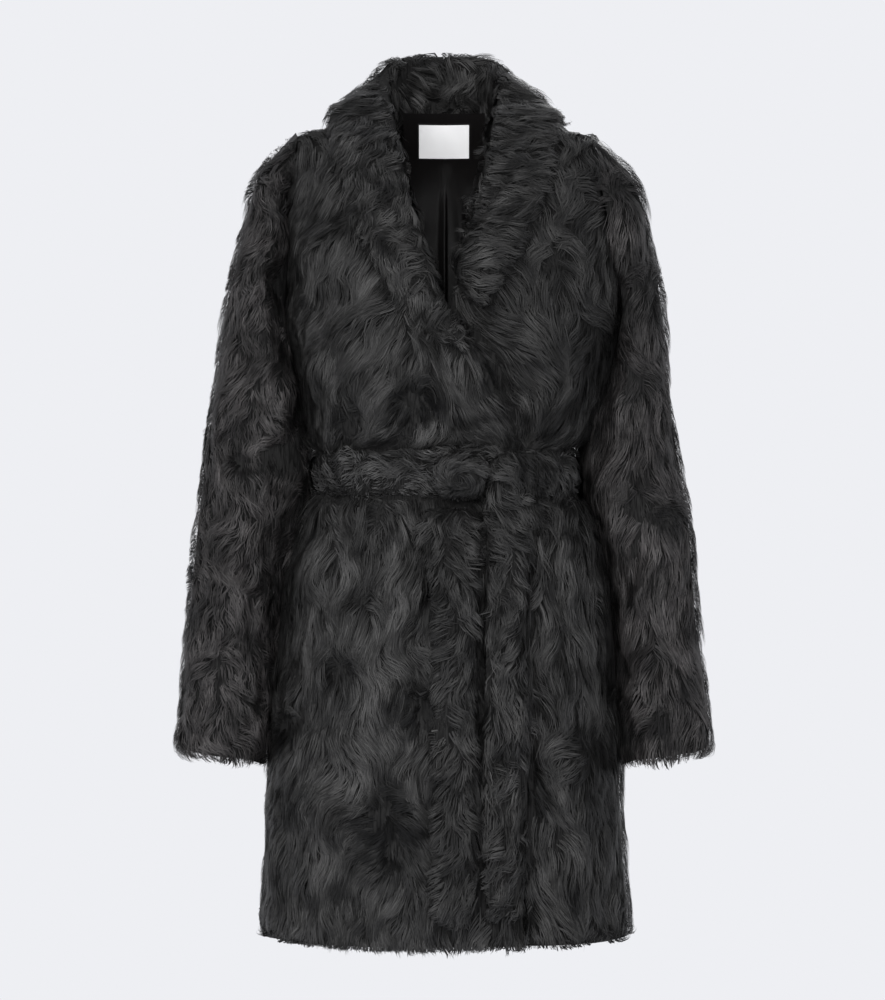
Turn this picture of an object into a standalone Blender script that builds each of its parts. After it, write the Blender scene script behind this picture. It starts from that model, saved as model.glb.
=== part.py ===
"""A wrap coat of black lamb shearling, filled out as if worn, with its own tie belt.

The coat is built from the pieces that a maker cuts: a back, two fronts that overlap, two sleeves,
a shawl collar in two halves, a belt with its knot and two hanging ends, and, inside the neck, the
back lining with a bare label. Every cloth piece is a wall as thick as its pelt and fur together.

The origin is at the nape, on the inside of the back neck. +Z is up, the front faces -Y, and the
wearer's right side is at -X. Sizes here are in millimetres and are turned into metres at the end.
"""

import math
from bisect import bisect_left
from collections import namedtuple
from functools import lru_cache

import bmesh
import bpy
import numpy as np

MM = 0.001  # one millimetre in Blender's metres

# ---------------------------------------------------------------- driving sizes
SEAM_GAP = 0.6  # between two pieces along a seam
LAYER_GAP = 0.8  # between a piece and the one that lies flat on it
TUCK_GAP = 2.5  # between the two fronts where they overlap
NECK_GAP, NECK_RISE = 2.0, 1.5  # from the panels to the collar, along the neck seam and up
FUR_CLEARANCE = 3.0  # between the collar's leaf and the panels under it
LEAF_SHARE = 0.85  # the leaf's thickness for one unit of its fold's radius
FOLD_ANGLES = [math.radians(a) for a in (-180, -135, -90, -45, 0)]  # round the collar's fold
LAID_FROM, LAID_TO = 0.74, 0.85  # down the front, where the collar's left end comes to lie on it
WALL = 13.0  # pelt and fur together
WALL_BELTED = 9.0  # the same, pressed by the belt
SLEEVE_WALL = WALL
HEM = -863.0
ARM_LEVEL = -200.0  # height of the underarm points
BELOW_ARM = 200.0  # drop for one unit of "down" below the underarm
SQUARENESS = 2.5  # of the trunk's rounded sections

SHOULDER_TIP = 157.0  # x of the sleeve seam on the shoulder
NECK_SHARE = 5 / 11  # of the tip's x, where the collar meets the shoulder seam
NECK_POINT = SHOULDER_TIP * NECK_SHARE
NAPE_DOWN = 0.36  # how far down the back the neck seam dips at the centre

BELT_TOP, BELT_BOTTOM = -351.0, -402.0
BELT_THICK = 9.0
OVER_BAND = 13.5  # from the coat's surface to what lies on the band
KNOT_X, KNOT_Z, KNOT_RADIUS, KNOT_HEIGHT = 17.0, -382.0, 28.0, 27.0
END_THICK = 13.0

YOKE_ROWS = 9  # rows from the shoulder seam to the underarm
HALF_BACK_COLUMNS = 11
RIGHT_FRONT_COLUMNS = 16
LEFT_FRONT_COLUMNS = 13
COLLAR_STATIONS = 24
BELT_STEPS = 52
LINING_ROWS = 13
LINING_COLUMNS = 7  # each side of the centre

LINING_THICK = 1.2
LABEL_THICK = 0.8
LINING_TOP, LINING_BOTTOM = 12.0, -318.0
LINING_HALF_TOP, LINING_HALF = 44.0, 112.0
LINING_UPRIGHT, LINING_LEAN = -45.0, 0.5  # above this it stands up against the collar
LINING_SPACE = 6.0  # between the back's pelt and its lining
LABEL_HALF_WIDTH, LABEL_TOP, LABEL_BOTTOM = 27.0, 0.0, -34.5
PLEAT_X, PLEAT_TOP, PLEAT_DEPTH = 3.0, -48.0, 3.0

# Outer sizes of the trunk at each height: half widths on the wearer's right and left, then the
# y of the front and of the back.
Trunk = namedtuple("Trunk", "height right left front back")
TRUNK = (
    Trunk(-200, 166, 190, -210, 50),
    Trunk(-241, 160, 180, -219, 49),
    Trunk(-290, 152, 168, -219, 41),
    Trunk(-325, 148, 157, -214, 34),
    Trunk(-338, 144, 151, -210, 30),
    Trunk(-348, 132, 134, -201, 22),
    Trunk(-404, 132, 134, -201, 22),
    Trunk(-414, 140, 147, -207, 29),
    Trunk(-428, 149, 156, -213, 37),
    Trunk(-460, 162, 165, -222, 47),
    Trunk(-511, 168, 172, -229, 55),
    Trunk(-554, 174, 176, -233, 60),
    Trunk(-617, 180, 182, -236, 64),
    Trunk(-680, 186, 186, -238, 66),
    Trunk(-776, 190, 193, -241, 68),
    Trunk(-863, 192, 198, -244, 70),
)
TRUNK_ROWS = (
    -225, -250, -275, -300, -325, -338, -348, -376, -404, -414, -430, -455,
    -485, -520, -560, -605, -655, -710, -765, -815, HEM,
)  # fmt: skip

# The shoulder seam, out from the neck: its y and height at each x.
Shoulder = namedtuple("Shoulder", "x y height")
SHOULDER = (
    Shoulder(0, -40, 37),
    Shoulder(40, -46, 27),
    Shoulder(72, -58, 11),
    Shoulder(115, -74, -4),
    Shoulder(157, -84, -15),
    Shoulder(200, -86, -26),
)

# Front edges in front view, x at each height. The right front laps over the left one.
Edge = namedtuple("Edge", "height right_front left_front")
FRONT_EDGES = (
    Edge(-200, -9, 8),
    Edge(-215, 1, 0),
    Edge(-232, 19, -9),
    Edge(-252, 38, -15),
    Edge(-299, 58, -30),
    Edge(-357, 72, -45),
    Edge(-402, 86, -52),
    Edge(-500, 91, -58),
    Edge(-700, 89, -60),
    Edge(-863, 83, -60),
)
# The neck seam on each front, x for each step down from the shoulder seam to the underarm.
NeckSeam = namedtuple("NeckSeam", "down x")
NECK_SEAM = (
    NeckSeam(0.0, NECK_POINT),
    NeckSeam(0.2, 66),
    NeckSeam(0.4, 60),
    NeckSeam(0.6, 50),
    NeckSeam(0.8, 32),
    NeckSeam(0.92, 20),
    NeckSeam(1.0, 9),
)
TUCK_START, TUCK_END = 8.0, 50.0  # the left front rises to full height over this width
TUCK_FULL, TUCK_NONE = -205.0, -125.0  # heights between which the tuck begins

# The shawl collar's left half from the centre back to its end. The roll is the centre of its
# rounded fold. Seam and edge lie on the coat: x, and how far down from the shoulder seam, with
# the back negative. Bulge is how far the leaf arches off a straight line to its edge.
Collar = namedtuple("Collar", "roll_x roll_y roll_z seam_x seam_down edge_x edge_down radius bulge")
Placed = namedtuple("Placed", ("place",) + Collar._fields)
COLLAR = (
    Collar(0, 12, 68, 0, -0.36, 0, -0.52, 13, 10),
    Collar(27, 9, 68, 22, -0.35, 34, -0.51, 13, 10),
    Collar(52, -8, 63, 42, -0.30, 72, -0.46, 13, 10),
    Collar(65, -31, 51, 60, -0.17, 102, -0.34, 13, 9),
    Collar(67, -54, 34, NECK_POINT, 0.0, 117, -0.12, 13, 8),
    Collar(64, -80, 13, 68, 0.14, 121, 0.06, 13, 7),
    Collar(59, -108, -12, 64, 0.28, 120, 0.20, 13, 6),
    Collar(54, -134, -38, 59, 0.41, 113, 0.35, 13, 5),
    Collar(48, -155, -65, 53, 0.52, 104, 0.50, 13, 5),
    Collar(43, -173, -95, 46, 0.63, 94, 0.65, 13, 4),
    Collar(33, -188, -125, 37, 0.74, 81, 0.77, 12, 4),
    Collar(22, -201, -158, 27, 0.85, 63, 0.89, 12, 4),
)
LEFT_COLLAR_END = (
    Collar(19, -208, -183, 26, 0.93, 47, 0.98, 10, 3),
    Collar(29, -212, -202, 33, 1.0, 41, 1.05, 8, 2),
)
RIGHT_COLLAR_END = (
    Collar(11, -207, -189, 15, 0.955, 42, 1.02, 11, 3),
    Collar(-1, -210, -207, 4, 1.035, 24, 1.13, 9, 2),
    Collar(-13, -214, -221, -7, 1.105, 4, 1.2, 7, 2),
    Collar(-26, -218, -235, -22, 1.175, -16, 1.25, 5, 1),
)

# Rings of a sleeve below the armhole: the outermost and innermost point of each, as x and z,
# then the y of its middle and half its depth from front to back.
Ring = namedtuple("Ring", "outer_x outer_z inner_x inner_z middle_y half_depth")
RIGHT_SLEEVE = (
    Ring(199, -55, 169, -240, -83, 69),
    Ring(211, -98, 163, -266, -84, 68),
    Ring(223, -148, 156, -293, -85, 67),
    Ring(235, -208, 152, -320, -87, 65),
    Ring(246, -284, 150, -350, -90, 63),
    Ring(255, -358, 147, -388, -93, 61),
    Ring(262, -420, 152, -424, -96, 60),
    Ring(268, -474, 167, -474, -99, 59),
    Ring(273, -534, 174, -536, -103, 58),
    Ring(279, -600, 182, -604, -109, 56),
    Ring(284, -648, 188, -656, -114, 55),
    Ring(284, -666, 190, -680, -116, 54),
)
LEFT_SLEEVE = (
    Ring(200, -55, 191, -240, -79, 69),
    Ring(215, -98, 181, -266, -78, 68),
    Ring(227, -148, 171, -293, -76, 67),
    Ring(235, -208, 162, -320, -77, 65),
    Ring(240, -284, 154, -350, -80, 63),
    Ring(251, -358, 147, -388, -85, 61),
    Ring(262, -420, 157, -424, -90, 60),
    Ring(266, -474, 170, -474, -94, 59),
    Ring(270, -534, 178, -536, -99, 58),
    Ring(278, -600, 184, -604, -106, 56),
    Ring(283, -648, 188, -656, -112, 55),
    Ring(283, -666, 189, -680, -114, 54),
)

# The largest folds: a ridge (or, with a negative height, a trough) from one place to another.
Fold = namedtuple("Fold", "from_x from_z to_x to_z half_width height")
FRONT_FOLDS = (
    Fold(-30, -408, -48, -560, 13, 7),
    Fold(-8, -412, -22, -520, 11, -5),
    Fold(-62, -408, -84, -540, 14, 5),
    Fold(-112, -412, -150, -600, 18, 5),
    Fold(104, -408, 118, -520, 12, 6),
    Fold(128, -408, 150, -500, 13, 5),
    Fold(112, -340, 140, -250, 14, 5),
    Fold(-60, -345, -96, -240, 16, 4),
    Fold(-10, -345, -40, -262, 14, 3),
)
BACK_FOLDS = (
    Fold(-20, -408, -38, -560, 16, 6),
    Fold(24, -408, 30, -540, 15, 6),
    Fold(74, -410, 98, -570, 18, 5),
    Fold(-72, -410, -100, -590, 18, 5),
    Fold(-40, -345, -66, -240, 16, 5),
    Fold(38, -345, 60, -230, 16, 5),
    Fold(0, -345, 2, -270, 14, 4),
    Fold(0, -600, 6, -860, 40, 4),
)
# Where the belt and the collar lie on the coat it is even, without folds.
Cover = namedtuple("Cover", "right left bottom top")
COVERED = (
    Cover(-400, 400, -408, -347),
    Cover(-34, 94, -900, -347),
    Cover(-140, 140, -60, 100),
    Cover(-118, 118, -120, -60),
    Cover(-94, 94, -170, -120),
    Cover(-60, 60, -240, -170),
)
FADE = 12.0
LUMP_HEIGHT = 2.0  # soft swells of the fur
LUMP_WAVES = ((0.061, 0.043, 0.4), (-0.047, 0.066, 2.1), (0.083, -0.029, 4.0))

# Belt ends: the left and right side of each hanging end at some heights.
Hang = namedtuple("Hang", "height left right")
FIRST_END = (
    Hang(-412, -8, 32),
    Hang(-424, -30, 36),
    Hang(-442, -32, 36),
    Hang(-468, -18, 36),
    Hang(-520, -12, 37),
    Hang(-620, -13, 36),
    Hang(-720, -10, 37),
    Hang(-800, -12, 36),
    Hang(-832, -10, 33),
    Hang(-842, 0, 26),
)
SECOND_END = (
    Hang(-354, 56, 98),
    Hang(-366, 50, 100),
    Hang(-386, 47, 97),
    Hang(-408, 43, 93),
    Hang(-440, 40, 90),
    Hang(-520, 39, 88),
    Hang(-620, 39, 88),
    Hang(-720, 41, 89),
    Hang(-800, 39, 86),
    Hang(-824, 42, 85),
    Hang(-834, 50, 78),
)

# ---------------------------------------------------------------- colours
Finish = namedtuple("Finish", "name colour roughness")
BODY_FUR = Finish("black lamb fur", (0.024, 0.025, 0.026), 0.6)
SLEEVE_FUR = Finish("warm black lamb fur", (0.029, 0.026, 0.026), 0.6)
SATIN = Finish("black satin lining", (0.018, 0.017, 0.017), 0.35)
LABEL_WHITE = Finish("white woven label", (0.85, 0.86, 0.88), 0.7)


# ---------------------------------------------------------------- curves and surfaces
def smooth(low, high, value):
    """0 below low, 1 above high, and an even S between."""
    share = np.clip((value - low) / (high - low), 0.0, 1.0)
    return share * share * (3 - 2 * share)


@lru_cache(maxsize=None)
def curve_of(rows, column):
    """Places, values and slopes of one column of a table, the slope level at a turning point."""
    ordered = sorted(rows)
    places = [row[0] for row in ordered]
    values = [getattr(row, column) for row in ordered]
    rises = [
        (values[i + 1] - values[i]) / (places[i + 1] - places[i]) for i in range(len(rows) - 1)
    ]
    slopes = [rises[0]]
    for before, after in zip(rises, rises[1:]):
        slopes.append(2 * before * after / (before + after) if before * after > 0 else 0.0)
    return places, values, slopes + [rises[-1]]


@lru_cache(maxsize=None)
def read_table(rows, column, at):
    """A smooth curve through one column of a table, read at a value of its first column."""
    places, values, slopes = curve_of(rows, column)
    at = min(max(at, places[0]), places[-1])
    i = min(max(bisect_left(places, at) - 1, 0), len(places) - 2)
    span = places[i + 1] - places[i]
    t = (at - places[i]) / span
    start = (1 + 2 * t) * (1 - t) ** 2 * values[i] + t * (1 - t) ** 2 * span * slopes[i]
    end = t * t * (3 - 2 * t) * values[i + 1] + t * t * (t - 1) * span * slopes[i + 1]
    return start + end


def read_collar(rows, share):
    """A collar row read between the rows of its table, at a share of the table's length."""
    placed = tuple(Placed(i, *row) for i, row in enumerate(rows))
    at = share * (len(rows) - 1)
    return Collar(*(read_table(placed, name, at) for name in Collar._fields))


def unit(vector):
    return vector / max(np.linalg.norm(vector), 1e-9)


def side_width(x, height):
    return read_table(TRUNK, "right" if x < 0 else "left", height)


def middle_y(height):
    return (read_table(TRUNK, "front", height) + read_table(TRUNK, "back", height)) / 2


def trunk_y(x, height, facing):
    """y of the trunk's outer surface, on the front (facing 1) or the back (-1)."""
    reach = min(abs(x) / side_width(x, height), 1.0)
    depth = (read_table(TRUNK, "back", height) - read_table(TRUNK, "front", height)) / 2
    return middle_y(height) - facing * depth * (1 - reach**SQUARENESS) ** (1 / SQUARENESS)


def armhole_x(side, down):
    """x of the sleeve seam, side 1 for the wearer's left and -1 for the right."""
    widest = side_width(side, ARM_LEVEL)
    return side * (SHOULDER_TIP + (widest - SHOULDER_TIP) * min(down, 1.0) ** 2)


def yoke_point(x, down, facing):
    """The coat above the underarm: at each x an arc from the shoulder seam down to the trunk."""
    outward = min(abs(x) / SHOULDER_TIP, 1.0)
    if facing > 0:
        top_handle, low_handle = 0.25 + 0.33 * outward, 0.36 + 0.14 * outward
    else:
        top_handle, low_handle = 0.75 - 0.15 * outward, 0.60 - 0.10 * outward
    top_y = read_table(SHOULDER, "y", abs(x))
    top_z = read_table(SHOULDER, "height", abs(x))
    low_y = trunk_y(x, ARM_LEVEL, facing)
    points = np.array(
        [
            (top_y, top_z),
            (top_y + top_handle * (low_y - top_y), top_z),
            (low_y, ARM_LEVEL + low_handle * (top_z - ARM_LEVEL)),
            (low_y, ARM_LEVEL),
        ]
    )
    t = down
    weights = np.array([(1 - t) ** 3, 3 * t * (1 - t) ** 2, 3 * t * t * (1 - t), t**3])
    y, z = weights @ points
    return np.array([x, y, z])


def coat_point(x, down, facing):
    """A point of the coat's even outer surface."""
    if down <= 1:
        return yoke_point(x, down, facing)
    height = ARM_LEVEL - (down - 1) * BELOW_ARM
    return np.array([x, trunk_y(x, height, facing), height])


def coat_normal(x, down, facing):
    """The outward direction of that surface."""
    limit = side_width(x, height_of(down)) * 0.995
    left, right = max(x - 2, -limit), min(x + 2, limit)
    across = coat_point(right, down, facing) - coat_point(left, down, facing)
    along = coat_point(x, down + 0.01, facing) - coat_point(x, max(down - 0.01, 0), facing)
    normal = unit(np.cross(across, along))
    away = coat_point(x, down, facing) - (0, middle_y(ARM_LEVEL), 0)
    away[2] = 60.0 if down < 1 else 0.0
    return normal if normal @ away > 0 else -normal


def tuck(x, height):
    """How deep the left front lies below the coat's surface, under the right one and beside it."""
    beyond = x - read_table(FRONT_EDGES, "right_front", height)
    depth = (wall_at(height) + TUCK_GAP) * (1 - smooth(TUCK_FULL, TUCK_NONE, height))
    return depth * (1 - smooth(TUCK_START, TUCK_END, beyond))


def wall_at(height):
    """The wall, thinner under the belt."""
    pressed = smooth(-430, -408, height) * (1 - smooth(-348, -326, height))
    return WALL + (WALL_BELTED - WALL) * pressed


def relief(x, height, folds):
    """Folds and soft swells of the fur, in millimetres outward, none under the belt."""
    swell = sum(math.sin(a * x + b * height + c) for a, b, c in LUMP_WAVES) * LUMP_HEIGHT / 3
    total = swell
    for fold in folds:
        start = np.array([fold.from_x, fold.from_z], float)
        run = np.array([fold.to_x, fold.to_z]) - start
        share = float(np.clip(((x, height) - start) @ run / (run @ run), 0, 1))
        away = np.linalg.norm((x, height) - (start + share * run))
        fade = math.sin(math.pi * (0.12 + 0.8 * share))
        total += fold.height * fade * math.exp(-((away / fold.half_width) ** 2))
    for cover in COVERED:
        inside = smooth(cover.right - FADE, cover.right, x) - smooth(cover.left, cover.left + FADE, x)
        below = 1 - smooth(cover.top, cover.top + FADE, height)
        above = smooth(cover.bottom - FADE, cover.bottom, height)
        total *= 1 - inside * below * above
    return total


# ---------------------------------------------------------------- meshes
def add_object(name, points, faces, finish):
    mesh = bpy.data.meshes.new(name)
    mesh.from_pydata([tuple(point * MM) for point in points], [], faces)
    outward = bmesh.new()
    outward.from_mesh(mesh)
    bmesh.ops.triangulate(outward, faces=outward.faces)
    bmesh.ops.recalc_face_normals(outward, faces=outward.faces)
    outward.to_mesh(mesh)
    outward.free()
    mesh.shade_smooth()
    mesh.set_sharp_from_angle(angle=math.radians(50))
    material = bpy.data.materials.get(finish.name) or bpy.data.materials.new(finish.name)
    material.use_nodes = True
    shader = material.node_tree.nodes["Principled BSDF"]
    shader.inputs["Base Color"].default_value = (*finish.colour, 1)
    shader.inputs["Roughness"].default_value = finish.roughness
    shader.inputs["Metallic"].default_value = 0.0
    mesh.materials.append(material)
    made = bpy.data.objects.new(name, mesh)
    bpy.context.collection.objects.link(made)
    return made


def add_wall(name, outer, inner, finish, ring=False):
    """A closed wall between two grids of points. In a ring the columns run right round."""
    rows, columns = outer.shape[:2]
    inside = rows * columns

    def at(row, column, layer=0):
        return layer * inside + row * columns + column % columns

    points = np.concatenate([outer.reshape(-1, 3), inner.reshape(-1, 3)])
    faces = []

    def close(one, other):
        """Two triangles across the wall, split alike in both pieces that share a seam."""
        high, low = (one, other) if points[at(*one)][2] >= points[at(*other)][2] else (other, one)
        faces.append([at(*high), at(*high, 1), at(*low, 1)])
        faces.append([at(*high), at(*low, 1), at(*low)])

    last = columns if ring else columns - 1
    for row in range(rows - 1):
        for column in range(last):
            square = [
                (row, column),
                (row, column + 1),
                (row + 1, column + 1),
                (row + 1, column),
            ]
            faces.append([at(*corner) for corner in square])
            faces.append([at(*corner, 1) for corner in square])
    for row in (0, rows - 1):
        for column in range(last):
            close((row, column), (row, column + 1))
    if not ring:
        for column in (0, columns - 1):
            for row in range(rows - 1):
                close((row, column), (row + 1, column))
    return add_object(name, points, faces, finish)


def add_bar(name, sections, finish, closed=False):
    """A closed bar through sections of the same number of points, capped unless it is a loop."""
    count, size = len(sections), len(sections[0])
    faces = []
    for i in range(count if closed else count - 1):
        for j in range(size):
            a, b = i * size + j, i * size + (j + 1) % size
            c, d = ((i + 1) % count) * size + (j + 1) % size, ((i + 1) % count) * size + j
            faces.append([a, b, c, d])
    if not closed:
        faces.append(list(range(size)))
        faces.append([(count - 1) * size + j for j in range(size)])
    return add_object(name, np.concatenate(sections), faces, finish)


# ---------------------------------------------------------------- trunk panels
def armhole_wall(point, side):
    """From the fur to the pelt at the sleeve seam: towards the middle of the armhole."""
    middle = np.array([0.0, middle_y(ARM_LEVEL) - 2, (ARM_LEVEL - 15) / 2])
    half_depth, half_height = 62.0, 93.0
    away = point - middle
    return unit(-np.array([0, away[1] / half_depth**2, away[2] / half_height**2]))


def seam_wall(side, down):
    """From the fur to the pelt on the side seam, the same for the front and the back."""
    height = height_of(down)
    slope = (side_width(side, height + 5) - side_width(side, height - 5)) / 10
    return -unit(np.array([side, 0, -slope * 0.5]))


def panel_rows():
    """How far down each row of a panel lies, from its top to the hem."""
    yoke = [i / YOKE_ROWS for i in range(YOKE_ROWS + 1)]
    return yoke + [1 + (ARM_LEVEL - height) / BELOW_ARM for height in TRUNK_ROWS]


def height_of(down):
    return ARM_LEVEL - (down - 1) * BELOW_ARM if down > 1 else ARM_LEVEL


def side_share(angle):
    """x on a rounded section of half width 1, at an angle from its middle."""
    across, forward = abs(math.sin(angle)), abs(math.cos(angle))
    radius = (across**SQUARENESS + forward**SQUARENESS) ** (-1 / SQUARENESS)
    return math.copysign(radius * across, math.sin(angle))


def angle_of(share):
    """The angle at which side_share gives this share."""
    reach = min(abs(share), 1.0) ** SQUARENESS
    if reach >= 1:
        return math.copysign(math.pi / 2, share)
    return math.copysign(math.atan((reach / (1 - reach)) ** (1 / SQUARENESS)), share)


def row_limit(side, down):
    """The half width of the section that a row is cut from, and the angle where the row ends."""
    if down > 1:
        return side_width(side, height_of(down)), math.pi / 2
    width = side_width(side, ARM_LEVEL)
    return width, angle_of(abs(armhole_x(side, down)) / width)


def panel_point(x, down, facing, folds, sunk=0.0):
    """An outer point of a panel with its relief, and the direction of its wall there."""
    point = coat_point(x, down, facing)
    normal = coat_normal(x, down, facing)
    return point + normal * (relief(x, point[2], folds) - sunk), -normal


def finish_edges(outer, inward, down, side, column):
    """The armhole and side seam: no relief, and a wall that meets the neighbour's squarely."""
    point = outer[column]
    if down <= 1:
        inward[column] = armhole_wall(point, side)
        point[0] -= side * SEAM_GAP / 2
    else:
        inward[column] = seam_wall(side, down)


def front_panel(name, side, columns, edge_of, sunk_at, finish):
    """One front, from its edge near the middle to its armhole and side seam."""
    outer_rows, inner_rows = [], []
    for down in panel_rows():
        width, end = row_limit(side, down)
        start = angle_of(side * edge_of(down) / width)
        outer, inward = [], []
        for i in range(columns + 1):
            x = side * width * side_share(start + (end - start) * i / columns)
            at_side = i == columns
            height = coat_point(x, down, 1)[2]
            sunk = sunk_at(x, height)
            if at_side:
                point, wall = coat_point(x, down, 1), None
            else:
                point, wall = panel_point(x, down, 1, FRONT_FOLDS, sunk)
            outer.append(point)
            inward.append(wall)
        finish_edges(outer, inward, down, side, columns)
        inward[columns - 1] = unit(inward[columns - 1] * 0.6 + inward[columns] * 0.4)
        if down == 0:
            for i, point in enumerate(outer):
                outer[i] = coat_point(point[0], 0, 1)
                inward[i] = shoulder_wall(point[0]) if i < columns else inward[i]
        shift = np.array([0, -SEAM_GAP / 2, 0])
        on_seam = range(columns + 1) if down == 0 else [columns] if down >= 1 else []
        for i in on_seam:
            outer[i] = outer[i] + shift
        walls = [wall_at(point[2]) for point in outer]
        outer_rows.append(outer)
        inner_rows.append([p + w * t for p, w, t in zip(outer, inward, walls)])
    return add_wall(name, np.array(outer_rows), np.array(inner_rows), finish)


def shoulder_wall(x):
    """From the fur to the pelt on the shoulder seam."""
    side = 1 if x > 0 else -1
    near, far = (read_table(SHOULDER, "height", abs(x) + d) for d in (-4, 4))
    return -unit(np.array([-side * (far - near) / 8, 0, 1]))


def right_front_edge(down):
    if down <= 1:
        return -read_table(NECK_SEAM, "x", down)
    return read_table(FRONT_EDGES, "right_front", height_of(down))


def left_front_edge(down):
    if down <= 1:
        return read_table(NECK_SEAM, "x", down)
    return read_table(FRONT_EDGES, "left_front", height_of(down))


def neck_dip(x):
    """How far down the back the neck seam lies at each x."""
    share = min(abs(x) / NECK_POINT, 1.0)
    return NAPE_DOWN * math.sqrt(max(1 - share**2.2, 0))


def back_point(share, down_share):
    """An outer point of the back and the direction of its wall, at a share of its width.

    The top row follows the neck seam, which dips between the shoulder seams.
    """
    side = 1 if share >= 0 else -1
    width, end = row_limit(side, 0.0)
    dip = neck_dip(width * side_share(share * end))
    down = dip + (1 - dip) * down_share if down_share <= 1 else down_share
    width, end = row_limit(side, down)
    x = width * side_share(share * end)
    point = coat_point(x, down, -1)
    at_side = abs(share) > 0.999
    on_shoulder = down_share == 0 and dip == 0
    if at_side:
        inward = armhole_wall(point, side) if down <= 1 else seam_wall(side, down)
        if down <= 1:
            point[0] -= side * SEAM_GAP / 2
    elif on_shoulder:
        inward = shoulder_wall(x)
    else:
        normal = coat_normal(x, down, -1)
        inward = -normal
        point = point + normal * relief(x, point[2], BACK_FOLDS)
    if on_shoulder or (at_side and down >= 1):
        point[1] += SEAM_GAP / 2
    return point, inward


def build_back():
    shares = [i / HALF_BACK_COLUMNS for i in range(-HALF_BACK_COLUMNS, HALF_BACK_COLUMNS + 1)]
    outer, inner = [], []
    for down in panel_rows():
        row = [back_point(share, down) for share in shares]
        outer.append([point for point, _ in row])
        inner.append([point + inward * wall_at(point[2]) for point, inward in row])
    return add_wall("back", np.array(outer), np.array(inner), BODY_FUR)


# ---------------------------------------------------------------- sleeves
def armhole_ring(side):
    """The sleeve seam from the shoulder tip round the front, under the arm and up the back."""
    points = []
    for i in range(2 * YOKE_ROWS):
        facing = 1 if i <= YOKE_ROWS else -1
        down = i / YOKE_ROWS if i <= YOKE_ROWS else 2 - i / YOKE_ROWS
        points.append(coat_point(armhole_x(side, down), down, facing))
    return np.array(points)


def across_run(points, towards):
    """Directions square to a line of points in front view, with x towards one side."""
    run = np.gradient(np.array(points), axis=0)
    square = np.stack([-run[:, 2], np.zeros(len(run)), run[:, 0]], axis=1)
    square /= np.linalg.norm(square, axis=1, keepdims=True)
    return square * np.sign(square[:, :1] * towards)


def build_sleeve(name, side, rings, finish):
    seam = armhole_ring(side)
    seam_middle = (seam[0] + seam[YOKE_ROWS]) / 2
    seam_axis = (seam[0] - seam[YOKE_ROWS]) / 2
    along = (seam - seam_middle) @ seam_axis / (seam_axis @ seam_axis)
    depth = seam[:, 1] - seam_middle[1]
    angles = np.arange(2 * YOKE_ROWS) * math.pi / YOKE_ROWS
    outer = [seam + np.array([side * SEAM_GAP / 2, 0, 0])]
    inner = [np.array([p + armhole_wall(p, side) * SLEEVE_WALL for p in outer[0]])]
    tops = [seam[0]] + [np.array([side * r.outer_x, r.middle_y, r.outer_z]) for r in rings]
    lows = [seam[YOKE_ROWS]] + [np.array([side * r.inner_x, r.middle_y, r.inner_z]) for r in rings]
    from_top, from_low = across_run(tops, -side), across_run(lows, side)
    for step, ring in enumerate(rings):
        top, low = tops[step + 1], lows[step + 1]
        middle, axis = (top + low) / 2, (top - low) / 2
        rounded = smooth(-1.5, 1.0, step)
        share = along * (1 - rounded) + np.cos(angles) * rounded
        forward = depth * (1 - rounded) - np.sin(angles) * ring.half_depth * rounded
        loop = middle + share[:, None] * axis
        loop[:, 1] += forward
        walls = np.where(share[:, None] > 0, from_top[step + 1], from_low[step + 1])
        walls = walls * np.abs(share)[:, None]
        walls[:, 1] -= forward / ring.half_depth
        walls /= np.linalg.norm(walls, axis=1, keepdims=True)
        outer.append(loop)
        inner.append(loop + walls * SLEEVE_WALL)
    outer, inner = np.array(outer), np.array(inner)
    around = np.roll(outer, -1, 1) - np.roll(outer, 1, 1)
    down = np.gradient(outer, axis=0)
    normals = np.cross(around, down)
    normals /= np.linalg.norm(normals, axis=2, keepdims=True)
    if ((outer - outer.mean(axis=1, keepdims=True)) * normals).sum() < 0:
        normals = -normals
    swells = np.array([[relief(p[1] * 1.7, p[2], []) for p in loop] for loop in outer[2:]])
    away = np.clip((side * normals[2:, :, 0] + 0.6) / 0.8, 0, 1)
    outer[2:] += normals[2:] * (swells * away)[:, :, None]
    return add_wall(name, outer, inner, finish, ring=True)


# ---------------------------------------------------------------- collar
def collar_panel_point(side, x, down):
    """A point of the coat under the collar: down is negative on the back."""
    facing = 1 if down >= 0 else -1
    point = coat_point(side * x, abs(down), facing)
    normal = coat_normal(side * x, abs(down), facing)
    if facing > 0 and side > 0:
        point = point - normal * tuck(x, point[2])
    return point, normal


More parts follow.
